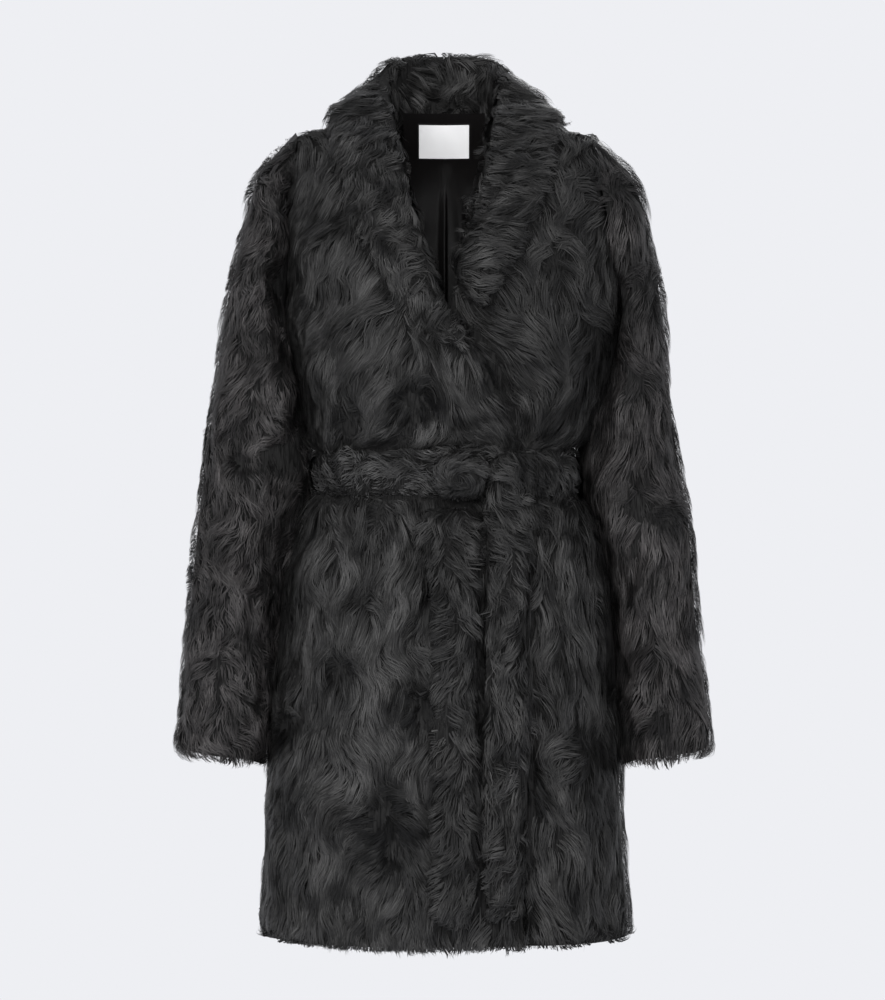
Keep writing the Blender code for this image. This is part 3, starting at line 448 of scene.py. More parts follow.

# %% [markdown]
# ## Whorls
#
# A whorl is a point that the hair runs out from on every side. In its middle the hair is short, lies lower and is
# painted darker, as painted shade where the eye looks between the hairs. Each has its place and reach in pixels, how
# dark it is, and how much the hair turns round it.

# %% Whorls
Whorl = namedtuple("Whorl", "column row wide high dark spin")
WHORLS = [Whorl(*row) for row in (
    (388, 832, 26, 46, 1.0, 0.2), (415, 402, 24, 19, 0.85, 0.0),
    (346, 420, 15, 18, 0.8, 0.5), (417, 708, 14, 20, 0.9, 0.6),
    (340, 668, 12, 15, 0.7, 0.0), (283, 725, 12, 14, 0.75, 0.3),
    (590, 760, 20, 34, 0.5, 0.9), (600, 345, 20, 36, 0.35, 0.6),
    (238, 463, 13, 12, 0.7, 0.4), (276, 458, 14, 13, 0.85, 0.2),
    (670, 516, 13, 13, 0.8, 0.3), (640, 505, 12, 14, 0.65, 0.5),
    (661, 722, 11, 12, 0.8, 0.4), (655, 655, 10, 14, 0.4, 0.2),
    (222, 665, 14, 12, 0.45, 0.7), (228, 205, 26, 24, 0.3, 0.8),
    (655, 290, 22, 26, 0.4, 0.4), (385, 515, 12, 18, 0.45, 0.3),
    (365, 605, 12, 12, 0.45, 0.3), (618, 195, 18, 16, 0.3, 0.4),
    (640, 385, 18, 16, 0.35, 0.5), (560, 268, 14, 20, 0.3, 0.5),
)]  # fmt: skip
# The back and sides, where no photograph shows: the same kinds of whorl, at x and z in mm, with a spin of 0.3.
HIDDEN_WHORLS = [Whorl(x, -z, reach, reach, dark, 0.3) for x, z, reach, dark in (
    (-70, -130, 28, 0.4), (62, -180, 24, 0.5), (-20, -260, 22, 0.45), (104, -290, 20, 0.4),
    (-96, -470, 24, 0.5), (40, -520, 28, 0.5), (-30, -610, 24, 0.45), (110, -650, 26, 0.5),
    (-120, -720, 26, 0.5), (20, -760, 34, 0.6), (-60, -820, 22, 0.4), (-222, -240, 20, 0.5),
    (-236, -420, 20, 0.5), (-250, -590, 20, 0.5), (222, -210, 20, 0.5), (240, -400, 20, 0.5),
    (252, -560, 20, 0.5),
)]  # fmt: skip
print("whorls:", len(WHORLS), "seen and", len(HIDDEN_WHORLS), "on the back and sides")

# %% [markdown]
# ## Creases
#
# A crease is a line where the fur parts: under the belt, at the elbows and beside the belt's hanging ends. The large
# folds are in the solids. These are too fine for them, so they move the fur and not the wall. The hairs in a crease's
# groove are also painted darker, as painted shade, and those on its low ridges painted lighter.

# %% Creases
Crease = namedtuple("Crease", "wide deep line")  # half width in pixels, depth in mm, corners of the line
# Creases that the photograph shows, as lines of picture places.
CREASES = [Crease(*row) for row in (
    (7, 3.0, ((443, 300), (480, 345), (500, 400), (514, 448))),
    (6, 3.0, ((414, 508), (409, 560), (419, 645))),
    (7, 2.0, ((437, 506), (431, 570), (434, 640), (427, 720), (424, 820), (430, 905))),
    (7, 2.4, ((352, 506), (360, 560), (352, 630))),
    (8, 2.4, ((316, 508), (300, 560), (290, 650), (286, 730))),
    (6, 3.2, ((546, 500), (550, 555), (560, 640))),
    (6, 3.0, ((569, 499), (581, 560), (590, 640))),
    (7, 2.6, ((594, 512), (607, 600), (612, 700))),
    (5, 4.2, ((529, 505), (530, 700), (524, 944))),
    (5, 3.6, ((481, 515), (480, 640), (483, 700), (476, 800), (470, 912))),
    (8, 2.2, ((352, 446), (344, 405), (356, 360))),
    (8, 2.2, ((404, 446), (414, 405), (402, 370))),
    (7, 2.0, ((560, 446), (548, 405), (562, 350))),
    (9, 2.2, ((312, 440), (303, 380), (305, 320), (322, 260))),
    (8, 2.4, ((232, 452), (262, 462), (292, 452))),
    (7, 2.0, ((214, 500), (240, 512), (268, 505))),
    (8, 2.4, ((612, 500), (640, 508), (672, 518))),
    (7, 2.0, ((625, 545), (650, 552), (676, 562))),
    (9, 2.0, ((262, 300), (254, 360), (262, 430))),
    (9, 2.0, ((628, 280), (638, 350), (630, 430))),
)]
# The same on the back, at x and z in mm: gathers over and under the belt, the middle of the back, the elbows.
HIDDEN_CREASES = [Crease(*row) for row in (
    (7, 3.0, ((-70, -410), (-76, -470), (-70, -540))),
    (7, 3.0, ((-32, -410), (-30, -480), (-36, -560))),
    (7, 3.0, ((14, -410), (10, -470), (16, -540))),
    (7, 3.0, ((58, -410), (64, -480), (60, -570))),
    (8, 2.6, ((100, -410), (112, -480), (120, -560))),
    (8, 2.6, ((-106, -410), (-116, -480), (-122, -560))),
    (8, 2.4, ((-50, -340), (-44, -300), (-52, -250))),
    (8, 2.4, ((40, -340), (46, -290), (38, -240))),
    (9, 2.4, ((0, -60), (3, -180), (0, -330))),
    (8, 2.4, ((-196, -340), (-222, -352), (-250, -346))),
    (8, 2.4, ((196, -352), (222, -362), (250, -356))),
    (8, 2.0, ((-206, -400), (-230, -410), (-254, -404))),
    (8, 2.0, ((206, -410), (230, -420), (254, -414))),
)]
KNOT_CENTRE = (460, 478)
print("creases:", len(CREASES), "seen and", len(HIDDEN_CREASES), "on the back")

# %% [markdown]
# ## Painted light and shade
#
# Fur that is combed flat looks lighter than fur that stands up, and some of that can't be had from its form alone.
# A shade paints that light or shade into the hairs' colour: it makes a soft patch of hairs lighter or darker.

# %% Shades
Shade = namedtuple("Shade", "column row wide high share")
# Patches painted lighter (+) or darker (-) than the rest, as painted light and shade seen in the photograph: place,
# reach across and down, share.
PAINTED_LIGHT_AND_SHADE = [Shade(*row) for row in (
    (540, 375, 56, 74, -0.36), (400, 370, 60, 60, 0.12), (372, 575, 42, 55, 0.26),
    (445, 80, 45, 30, -0.05), (590, 200, 45, 60, -0.14), (288, 175, 26, 36, -0.42),
    (318, 236, 16, 28, -0.38), (318, 279, 34, 12, 0.30), (386, 264, 22, 12, 0.30),
    (368, 99, 22, 20, -0.42), (352, 140, 16, 16, 0.34), (362, 205, 18, 22, -0.28),
    (311, 368, 12, 14, -0.55), (610, 302, 16, 18, -0.48), (597, 361, 20, 22, -0.50),
    (494, 238, 20, 14, -0.40), (624, 186, 14, 30, -0.36), (652, 315, 14, 44, -0.36),
    (275, 850, 22, 70, -0.30), (340, 750, 34, 50, 0.42), (366, 684, 16, 20, 0.30),
    (604, 788, 20, 46, -0.70), (300, 712, 10, 10, -0.55), (554, 814, 26, 40, 0.25),
    (570, 620, 40, 80, 0.14), (660, 620, 40, 110, 0.08), (440, 720, 260, 200, 0.14),
    (458, 690, 20, 220, -0.34), (310, 820, 50, 90, 0.10), (580, 700, 40, 60, 0.10),
)]  # fmt: skip
print("shades:", len(PAINTED_LIGHT_AND_SHADE))

# %% [markdown]
# ## Fields over the coat
#
# Real fur changes slowly from place to place. A sum of a few plane waves does that in space, so that it has no seam
# and is the same for neighbouring pieces. A noise texture can't be asked for its value where a hair starts.

# %% Fields


class Waves:
    """A slow random field: a sum of plane waves, about -1 to 1."""

    def __init__(self, length, seed, count=7):
        rng = np.random.default_rng(seed)
        ways = unit(rng.normal(size=(count, 3)))
        self.turns = ways * (2 * math.pi / (length * MM) * rng.uniform(0.7, 1.5, (count, 1)))
        self.starts = rng.uniform(0, 2 * math.pi, count)
        self.scale = 1.4 / math.sqrt(count)

    def at(self, points):
        return np.sin(points @ self.turns.T + self.starts).sum(axis=1) * self.scale


# The first number is the length of the waves in mm.
SLOW_TURN, QUICK_TURN, CRIMP = Waves(150, 11), Waves(62, 12), Waves(36, 16)
SLOW_SWELL, QUICK_SWELL, RIPPLE = Waves(90, 13), Waves(42, 14), Waves(25, 17, 9)
TONES = Waves(70, 15)
LUMPS, RIPPLE_HEIGHT = ((2.8, SLOW_SWELL), (1.7, QUICK_SWELL)), 0.8  # mm
RIDGE, RIDGE_PLACE = 0.45, 2.1  # the ridge beside a crease, as shares of its depth and half width
WHORL_FALL = 0.7  # how fast a whorl fades outwards
print("swell at the nape, in mm:", SLOW_SWELL.at(np.zeros((1, 3))).round(2))

# %% [markdown]
# ## Form, shade and whorls
#
# The creases, shades and whorls are read from their tables here. The form of the fur is their grooves and the lumps
# of the fields. It could be a bump in the material, but then the outline and the shadows would stay flat.

# %% Form, shade and whorls


def line_distance(places, line):
    """How far each place lies from a line of corners, with the share of the way along it."""
    nearest, along = np.full(len(places), 1e9), np.zeros(len(places))
    corners = np.array(line, float)
    for i, (start, end) in enumerate(zip(corners[:-1], corners[1:])):
        way = end - start
        share = np.clip(((places - start) @ way) / (way @ way), 0, 1)
        distance = np.linalg.norm(places - start - share[:, None] * way, axis=1)
        closer = distance < nearest
        nearest = np.where(closer, distance, nearest)
        along = np.where(closer, (i + share) / (len(corners) - 1), along)
    return nearest, along


def crease_height(points):
    """The creases' form, in mm: a groove along each line and a low ridge on both its sides."""
    front = smooth(-0.06, -0.10, points[:, 1])
    seen, hidden = picture_place(points), points[:, [0, 2]] / MM
    total = np.zeros(len(points))
    for creases, places, share in ((CREASES, seen, front), (HIDDEN_CREASES, hidden, 1 - front)):
        for crease in creases:
            away, along = line_distance(places, crease.line)
            ends = smooth(0, 0.12, along) * smooth(1, 0.7, along)
            groove = hump(away, 0, crease.wide) - RIDGE * hump(away / crease.wide, RIDGE_PLACE, 1)
            total -= crease.deep * groove * ends * share
    return total


def swell(points):
    """Soft lumps and creases of the whole fur, in mm."""
    return sum(height * field.at(points) for height, field in LUMPS) + crease_height(points)


def ripple(points):
    """The short waves that lamb's wool dries into, in mm."""
    return RIPPLE_HEIGHT * RIPPLE.at(points)


def tilted(facing, points, form, strength):
    """The surface's directions, leaned by the slope of a form that lies over it."""
    step, here = 2 * MM, form(points)
    slope = np.stack([form(points + axis * step) - here for axis in np.eye(3)], axis=1) * MM / step
    slope -= (slope * facing).sum(axis=1, keepdims=True) * facing
    return unit(facing - strength * slope)


def painted_light_and_shade(points, normals):
    """How much painted light or painted shade makes each place lighter or darker than the rest."""
    places, total = picture_place(points), np.zeros(len(points))
    for shade in PAINTED_LIGHT_AND_SHADE:
        away = np.hypot(*((places - shade[:2]) / shade[2:4]).T)
        total += shade.share * np.exp(-(away**2)) * (normals[:, 1] < 0.2)
    return total


def whorl_share(points, normals):
    """For each whorl: its strength at each point, the way out from its middle, its darkness and its spin."""
    seen, hidden = picture_place(points), points[:, [0, 2]] / MM * [1, -1]
    front, back = smooth(0.1, -0.3, normals[:, 1]), smooth(-0.1, 0.3, normals[:, 1])
    for whorls, places, side in ((WHORLS, seen, front), (HIDDEN_WHORLS, hidden, back)):
        for whorl in whorls:
            across, up = ((places - whorl[:2]) / whorl[2:4]).T
            away = np.hypot(across, up)
            yield np.exp(-(away**2) * WHORL_FALL) * side, across, up, away, whorl.dark, whorl.spin


def darkness(node, points, normals):
    """How dark the whorls make each place, 0 to 1."""
    total = np.zeros(len(points))
    if node in BROAD_NODES:
        for share, _, _, away, dark, _ in whorl_share(points, normals):
            total = np.maximum(total, dark * smooth(1.45, 0.5, away) * (share > 0.02))
    return total


print("form of the fur at the nape, in mm:", swell(np.zeros((1, 3))).round(2))

# %% [markdown]
# ## The way the hair lies
#
# On the real coat the pelts are cut with the nap running down, the collar's hair runs out from its fold, and the
# belt's hair runs along it. The flow starts from that, bends with the fields, follows the combs, and runs out from
# the whorls. It is worked out on the surface, so it goes round the sides and over the shoulders without a jump.

# %% Flow
BENDS = ((26, SLOW_TURN), (20, QUICK_TURN), (22, CRIMP))  # degrees that each field turns the nap
TURNING = {"sleeve_left": 0.5, "sleeve_right": 0.95, "collar_right": 0.9, "collar_left": 0.8}
COMB_STRENGTH, COMB_WANDER = 2.2, 14
WHORL_STRENGTH = 3.0
SEAM_PULL, SEAM_WIDTH = 1.8, 0.014  # the collar's hairs cross the seam behind the neck
KNOT_TURN, KNOT_CURL = 24, 0.45  # the knot's hairs swirl, and run outward beyond its middle


def base_angle(node, points, places):
    """The way the nap runs before combs and whorls, in degrees from down, towards +X."""
    if node in COLLAR_NODES:
        return np.where(points[:, 0] < 0, -35.0, 70.0)
    if node == "belt_band":
        return np.where(places[:, 0] < 460, 80.0, 60.0) + 18 * QUICK_TURN.at(points)
    if node == "belt_end_right":
        return -55.0 + 60.0 * smooth(440, 470, places[:, 0])
    if node == "belt_end_left":
        return 26.0 - 46.0 * smooth(560, 700, places[:, 1])
    return np.zeros(len(points))


def laid(across, down, normals):
    """Directions along the surface, from how far the hair goes across and down."""
    wanted = np.stack([across, np.zeros(len(across)), -down], axis=1)
    # On a face that looks sideways the picture's "across" runs along the depth of the coat.
    around = np.cross(np.array([0.0, 0.0, 1.0]), normals)
    level = np.abs(around).max(1, keepdims=True) < 0.05
    across_way = unit(np.where(level, [1.0, 0, 0], around))
    ways = across[:, None] * across_way + down[:, None] * np.array([0.0, 0.0, -1.0])
    tops = np.abs(normals[:, 2:3]) > 0.8
    ways = np.where(tops, wanted + np.array([0.0, 0.6, 0.0]) * np.sign(normals[:, 1:2]), ways)
    ways = ways - (ways * normals).sum(axis=1, keepdims=True) * normals
    return unit(ways)


def flow(node, points, normals):
    """The way the hair lies at each point, along the surface."""
    places = picture_place(points)
    angle = base_angle(node, points, places)
    angle = angle + TURNING.get(node, 0.75) * sum(size * field.at(points) for size, field in BENDS)
    down = np.cos(np.radians(angle))
    across = np.sin(np.radians(angle))
    front = smooth(0.2, -0.3, normals[:, 1])
    combs = COMBS if node in BROAD_NODES else COLLAR_COMBS if node in COLLAR_NODES else ()
    for comb in combs:
        away = np.hypot(*(places - comb[:2]).T) / comb.reach
        share = COMB_STRENGTH * np.exp(-(away**2)) * front
        wander = comb.angle + COMB_WANDER * QUICK_TURN.at(points)
        down = down + share * np.cos(np.radians(wander))
        across = across + share * np.sin(np.radians(wander))
    if node in BROAD_NODES:
        for share, side, below, away, _, spin in whorl_share(points, normals):
            out = share * WHORL_STRENGTH * smooth(0.0, 0.8, away) / np.maximum(away, 0.15)
            across = across + out * (side - spin * below)
            down = down + out * (below + spin * side)
    if node in COLLAR_NODES:
        across = across - SEAM_PULL * np.sign(points[:, 0]) * hump(points[:, 0], 0, SEAM_WIDTH)
    if node == "belt_knot":
        side, below = (places - KNOT_CENTRE).T
        outward = np.hypot(side, below) / KNOT_TURN - KNOT_CURL
        across, down = -below + outward * side, side + outward * below
    return laid(across, down, normals)


print("nap behind the neck:", flow("back", np.zeros((1, 3)), np.array([[0.0, 1.0, 0.0]])).round(2))

# %% [markdown]
# ## Locks
#
# Lamb's wool dries into locks, small bundles that lie together and part from the next. A lock is grown first as one
# guide that follows the flow in short steps and lands on the skin after each. The hairs around it take its path,
# draw together towards the tip, and rise from the pelt to the surface. Hairs that each follow the flow alone would
# look like combed wool.

# %% Guides and roots
BEND = 6  # degrees that a lock curves to one side
HEM_RISE = 0.42  # the hem's height at the sides, as a share of the square of x
PAST_HEM, PAST_EDGE = (5.0, 1.05), (2.0, 1.0)  # how far hairs may reach below: mm, and share of their height
SHARP_TURN = 0.35  # hair doesn't follow the skin round a turn sharper than this
SPARE_ROOTS = 1.12
HAIR_REACH, FINE_REACH, HAIR_FACING = 0.0015, 0.001, 0.6  # m; no hair where another piece is this near
COLLAR_REACH, COLLAR_FACING = 0.014, 0.2  # nor under the collar
LABEL_BOX = ((-30, 30), (-60, 0), (-46, -4))  # mm; hairs here would hang in front of the label


def rotated(ways, normals, degrees):
    angle = np.radians(degrees)[:, None]
    return unit(ways * np.cos(angle) + np.cross(normals, ways) * np.sin(angle))


def above_edge(node, points):
    """How far above its lower edge each point of a piece lies, in mm; the hem is higher at the sides."""
    lowest = SKINS[node].points[:, 2].min()
    rise = HEM_RISE * points[:, 0] ** 2 if node in TRUNK_NODES else 0.0
    return (points[:, 2] - lowest - rise) / MM


def grow_guides(node, fur, roots, normals, rng):
    """The path of each lock along the skin, and the directions beside it."""
    count = len(roots)
    turn = rng.normal(0, fur.wander, count)
    bend = rng.normal(0, BEND, count)
    phase = rng.uniform(0, 2 * math.pi, count)
    waves = rng.uniform(0.6, 1.2, count)
    length = fur.length * MM * rng.uniform(0.72, 1.2, count)
    length *= 1 - 0.25 * darkness(node, roots, normals)
    spare, share = PAST_HEM if node in TRUNK_NODES else PAST_EDGE
    length = np.minimum(length, (spare + share * above_edge(node, roots)) * MM)
    paths, facings = [roots], [normals]
    for share in SHARES[1:]:
        ways = flow(node, paths[-1], facings[-1])
        wave = fur.wave * np.sin(2 * math.pi * waves * share + phase)
        ways = rotated(ways, facings[-1], turn + bend * share + wave)
        straight = paths[-1] + ways * (length / STEPS)[:, None]
        ahead, facing = landed(SKINS[node], straight, share * SPARE_HEIGHT)
        turned = ((facing * facings[-1]).sum(axis=1) < SHARP_TURN)[:, None]
        paths.append(np.where(turned, straight, ahead))
        facings.append(np.where(turned, facings[-1], facing))
    return np.stack(paths, axis=1), np.stack(facings, axis=1)


def nearest_lock(lock_roots, roots):
    tree = KDTree(len(lock_roots))
    for i, place in enumerate(lock_roots.tolist()):
        tree.insert(place, i)
    tree.balance()
    return np.array([tree.find(place)[1] for place in roots.tolist()])


def over_label(points):
    """True for each hair that would hang in front of the label."""
    inside = [(low < v) & (v < high) for v, (low, high) in zip((points / MM).transpose(2, 0, 1), LABEL_BOX)]
    return np.all(inside, axis=0).any(axis=1)


def find_roots(node, count, rng):
    """Places where hairs can stand, with their directions and the depth of the fur."""
    found = scatter(SKINS[node], int(count * SPARE_ROOTS), rng)
    roots, normals, _ = found
    hidden = is_covered(node, roots, normals, HAIR_REACH if node in BROAD_NODES else FINE_REACH, HAIR_FACING)
    if node in TRUNK_NODES:
        hidden |= is_covered(node, roots, normals, COLLAR_REACH, COLLAR_FACING, COLLAR_NODES)
    bare = hidden | (np.linalg.norm(flow(node, roots, normals), axis=1) < 0.5)
    return [values[~bare][:count] for values in found]


print("locks:", sum(fur.hairs // HAIRS_IN_A_LOCK for fur in FURS.values()))

# %% [markdown]
# ## Hairs
#
# Every hair takes its lock's path at its own offset, which shrinks towards the tip. Its height above the pelt is an
# arch, higher in the middle of a lock, with the lumps and creases of the whole fur under it. Each lock has its own
# tone, each hair a little more. Painted shade darkens the whorls, because there the eye looks between the hairs, and
# the grooves of the creases; painted light brightens the crests of the locks, the ridges beside the creases, and the
# crests of the short waves.

# %% Heights and tones
SPREAD = 1.6  # mm that a hair's tip strays from its lock
LOCK_LIFT, HAIR_LIFT = 0.35, 0.4  # mm up or down
FORM, CREASED, DARK_DROP = 0.4, 0.6, 1.2  # shares of the fur's form, and mm that the whorls lie lower
KNOT_RISE, KNOT_RING = 3.5, (30, 8)  # mm; the belt rises in a ring round its knot, in pixels from its middle
LOCK_TONE, HAIR_TONE, WISP_TONE = 0.06, 0.30, 0.04
# Painted light and shade on the short waves: their crests lighter, their hollows darker.
CURL_PAINTED_SHADE, COLLAR_CURL_PAINTED_SHADE = 0.14, 0.34  # how much the short waves change the tone
# The first is painted light on the crests of the locks, where the hairs stand highest; the second is a slow change of
# tone at random.
CREST_PAINTED_LIGHT, SLOW_TONE = 0.08, 0.28
# Painted shade: darker hairs in the creases' grooves, lighter ones on their ridges, and darker hairs in the whorls.
CREASE_PAINTED_SHADE, WHORL_PAINTED_SHADE = 0.14, 0.92


def lay_hairs(paths, facings, offset, normals, rng):
    """The points of each hair along the skin, and the skin's directions there."""
    shares = SHARES[None, :, None]
    own = rng.normal(0, 1.0, (len(offset), 1, 1)) * (SHARES**1.5)[None, :, None] * SPREAD * MM
    side = unit(np.cross(facings, np.gradient(paths, axis=1)))
    shrink = 1 - CLUMPING * rng.uniform(0.6, 1.1, (len(offset), 1, 1)) * shares**0.8
    facing = unit(facings * shares + normals[:, None] * (1 - shares))
    return paths + offset[:, None] * shrink + side * own, facing


def hair_heights(node, roots, depths, crest, dark):
    """How far each hair is above the skin at each step, in mm."""
    arch = (np.maximum(depths, LEAST_DEPTH)[:, None] * RISE - depths[:, None]) / MM
    arch = arch + crest[:, None] * (SHARES[None] ** 0.7) - SUNK.get(node, 0.0)
    if "belt" in node and node != "belt_knot":
        away = np.hypot(*(picture_place(roots) - KNOT_CENTRE).T)
        arch = arch + KNOT_RISE * hump(away, *KNOT_RING)[:, None]
    return arch + (FORM * swell(roots) + CREASED * crease_height(roots))[:, None] - DARK_DROP * dark[:, None]


def hair_tones(node, roots, normals, lock, crest, dark, rng):
    """The tone of each hair, about 1, and which are single hairs."""
    single = rng.random(len(roots)) < HAIR_PART
    tone = 1 + LOCK_TONE * rng.normal(0, 1, lock.max() + 1)[lock]
    tone = tone + np.where(single, HAIR_TONE, WISP_TONE) * rng.normal(0, 1, len(roots))
    curl_painted_shade = (COLLAR_CURL_PAINTED_SHADE if node in COLLAR_NODES else CURL_PAINTED_SHADE) * RIPPLE.at(roots)
    # Painted light on the crests of the locks, and painted light and shade on the short waves.
    tone = np.clip(tone + CREST_PAINTED_LIGHT * crest + SLOW_TONE * TONES.at(roots) + curl_painted_shade, 0.35, 2.1)
    # Painted light and shade in soft patches.
    tone = tone * (1 + painted_light_and_shade(roots, normals))
    # Painted shade in the creases' grooves, painted light on their ridges.
    tone = tone * (1 + CREASE_PAINTED_SHADE * np.clip(crease_height(roots), -4, 2))
    # Painted shade in the whorls.
    return tone * (1 - WHORL_PAINTED_SHADE * dark), single


print("height of a hair at its steps:", RISE)

# %% [markdown]
# ## Growing one piece
#
# The steps above are put together here: roots, locks, paths, heights and tones. Each piece has its own seed, so a
# change to one leaves the others as they are. The directions that the hairs shade by follow the fur's form more
# strongly than the hairs do, which makes the locks readable in black.

# %% Growing one piece
LEAN, SWELL_LEAN, RIPPLE_LEAN, COLLAR_LEAN = 0.25, 2.6, 2.8, 3.6


def grow(node, seed):
    """All hairs of one piece: points (hair, step, 3), two kinds of direction, tones, and which are single."""
    rng = np.random.default_rng(seed)
    fur = FURS[node]
    roots, normals, depths = find_roots(node, fur.hairs, rng)
    locks = rng.choice(len(roots), max(len(roots) // HAIRS_IN_A_LOCK, 1), replace=False)
    paths, facings = grow_guides(node, fur, roots[locks], normals[locks], rng)
    lock = nearest_lock(roots[locks], roots)
    offset = roots - roots[locks][lock]
    radius = np.linalg.norm(offset, axis=1)
    reach = np.bincount(lock, radius, len(locks)) / np.maximum(np.bincount(lock), 1)
    away = radius / np.maximum(reach[lock], 1e-6)  # from the lock's middle, 1 for a common hair
    points, facing = lay_hairs(paths[lock], facings[lock], offset, normals, rng)
    lift = rng.uniform(-LOCK_LIFT, LOCK_LIFT, len(locks))[lock] + rng.normal(0, HAIR_LIFT, len(roots))
    crest = lift + (0.4 - 0.5 * np.minimum(away, 1.8))
    dark = np.max([darkness(node, points[:, step], normals) for step in range(STEPS)], axis=0)
    points = points + facing * hair_heights(node, roots, depths, crest, dark)[:, :, None] * MM
    tone, single = hair_tones(node, roots, normals, lock, crest, dark, rng)
    shading = unit(normals + LEAN * unit(offset) * np.minimum(away, 1.5)[:, None])
    shading = tilted(shading, roots, swell, SWELL_LEAN)
    strength = COLLAR_LEAN if node in COLLAR_NODES else RIPPLE_LEAN
    along = [tilted(shading, points[:, step], ripple, strength) for step in range(STEPS + 1)]
    kept = ~over_label(points)
    return *(values[kept] for values in (points, facing, np.stack(along, axis=1), tone, single)), rng


print("strength of the lean:", {"lumps": SWELL_LEAN, "ripples": RIPPLE_LEAN, "collar": COLLAR_LEAN})

# %% [markdown]
# ## Ribbons
#
# A hair is a tapered ribbon of two quads and a triangle. Its directions are rounded across, so that it shades like a
# round hair. All ribbons share one map: the column says how light the hair is, and each cell is one hair from root
# to tip, so one node group reads it for the whole fur.

# %% Ribbons
WISP_MAP = "OFBake"
CORNERS = 2 * STEPS + 1  # of one ribbon
HAIR_OUT, WISP_OUT = 0.4 * MM, -1.0 * MM  # at the tips; wisps lie below the single hairs
ROLL = 0.15  # how much a ribbon turns on its edge
UPRIGHT, SHADED, ACROSS = 0.35, 0.8, 0.3  # shares of the directions that a ribbon shades by
CELL_EDGE, HAIR_SPAN, WISP_SPAN = 0.04, 0.3, 0.92  # of a cell's width
ROOT_V, SPAN_V = 0.02, 0.96  # of a cell's height


def wisp_map(count, single, tone, rng):
    """Where each hair lies in the shared map: its columns from and to, and the row of its root."""
    level = (tone - LEAST_TONE) / (MOST_TONE - LEAST_TONE) * TONES_ACROSS + rng.uniform(-0.5, 0.5, count)
    column = np.clip(np.floor(level), 0, TONES_ACROSS - 1)
    span = np.where(single, HAIR_SPAN, WISP_SPAN)
    start = CELL_EDGE + rng.random(count) * (WISP_SPAN - span)
    row = rng.integers(0, WISPS_DOWN, count)
    return (column + start) / TONES_ACROSS, (column + start + span) / TONES_ACROSS, row / WISPS_DOWN


def ribbon_corners():
    """The corners of one ribbon's faces: a quad for each step, and a triangle at the tip."""
    quads = [[2 * step, 2 * step + 1, 2 * step + 3, 2 * step + 2] for step in range(STEPS - 1)]
    return np.array(sum(quads, []) + [2 * STEPS - 2, 2 * STEPS - 1, 2 * STEPS])


def ribbon_mesh(name, points, facing, shading, tone, single, rng):
    """Tapered ribbons along the hairs, two points wide at each step and one at the tip."""
    count = len(points)
    points = points + facing * np.where(single, HAIR_OUT, WISP_OUT)[:, None, None] * SHARES[None, :, None]
    along = unit(np.gradient(points, axis=1))
    wide = unit(np.cross(along, facing))
    roll = rng.normal(0, ROLL, (count, 1, 1))
    wide = unit(wide + np.cross(wide, along) * roll)
    up = unit(np.cross(wide, along))
    up = np.where((up * facing).sum(axis=2, keepdims=True) < 0, -up, up)
    width = np.where(single, HAIR_WIDTH, WISP_WIDTH) * rng.uniform(0.75, 1.25, count) * MM
    half = wide * (TAPER[None, :, None] * width[:, None, None] / 2)
    leaning = unit(up * UPRIGHT + shading * SHADED)
    left_u, right_u, row = wisp_map(count, single, tone, rng)
    places, ways, flat = (np.zeros((count, CORNERS, size)) for size in (3, 3, 2))
    for step in range(STEPS + 1):
        tip = step == STEPS
        for side, u in ((-1, left_u), (1, right_u)):
            at = 2 * step + (side > 0) * (not tip)
            places[:, at] = points[:, step] + side * half[:, step]
            ways[:, at] = unit(leaning[:, step] + side * ACROSS * wide[:, step] * (not tip))
            flat[:, at, 0] = (left_u + right_u) / 2 if tip else u
            flat[:, at, 1] = row + (ROOT_V + SPAN_V * SHARES[step]) / WISPS_DOWN
    return faced(name, places, ways, flat)


def faced(name, places, ways, flat):
    """One mesh of all the ribbons, with its own directions and map."""
    corners, firsts = ribbon_corners(), np.arange(len(places))[:, None]
    loops = (firsts * CORNERS + corners[None]).ravel()
    begins = (firsts * len(corners) + 4 * np.arange(STEPS)[None]).ravel()
    mesh = bpy.data.meshes.new(name)
    mesh.vertices.add(len(places) * CORNERS)
    mesh.vertices.foreach_set("co", places.ravel())
    mesh.loops.add(len(loops))
    mesh.loops.foreach_set("vertex_index", loops)
    mesh.polygons.add(len(begins))
    mesh.polygons.foreach_set("loop_start", begins)
    mesh.update(calc_edges=True)
    mesh.shade_smooth()
    layer = mesh.uv_layers.new(name=WISP_MAP)
    layer.uv.foreach_set("vector", flat.reshape(-1, 2)[loops].ravel())
    mesh.normals_split_custom_set_from_vertices(ways.reshape(-1, 3))
    return into_scene(name, mesh)


print("corners of a ribbon's faces:", ribbon_corners().tolist())

# %% [markdown]
# ## Building materials
#
# A material is a shader with a few nodes before it. They could be placed and linked by hand in the shader editor.
# A helper that makes a node together with its inputs keeps each material readable as a short list.

# %% Building materials
BUMP_DEPTH = 0.0004  # m


def new_material(name, roughness, specular=0.3):
    material = bpy.data.materials.new(name)
    material.use_nodes = True
    shader = material.node_tree.nodes["Principled BSDF"]
    shader.inputs["Roughness"].default_value = roughness
    shader.inputs["Specular IOR Level"].default_value = specular
    return material, shader


def add(tree, kind, inputs={}, **settings):
    """A new node. An input given as another node's socket is linked; any other value stands on the input."""
    made = tree.nodes.new(kind)
    for name, value in settings.items():
        setattr(made, name, value)
    for name, value in inputs.items():
        if isinstance(value, bpy.types.NodeSocket):
            tree.links.new(value, made.inputs[name])
        else:
            made.inputs[name].default_value = value
    return made


def calculate(tree, operation, *inputs):
    return add(tree, "ShaderNodeMath", dict(enumerate(inputs)), operation=operation).outputs[0]


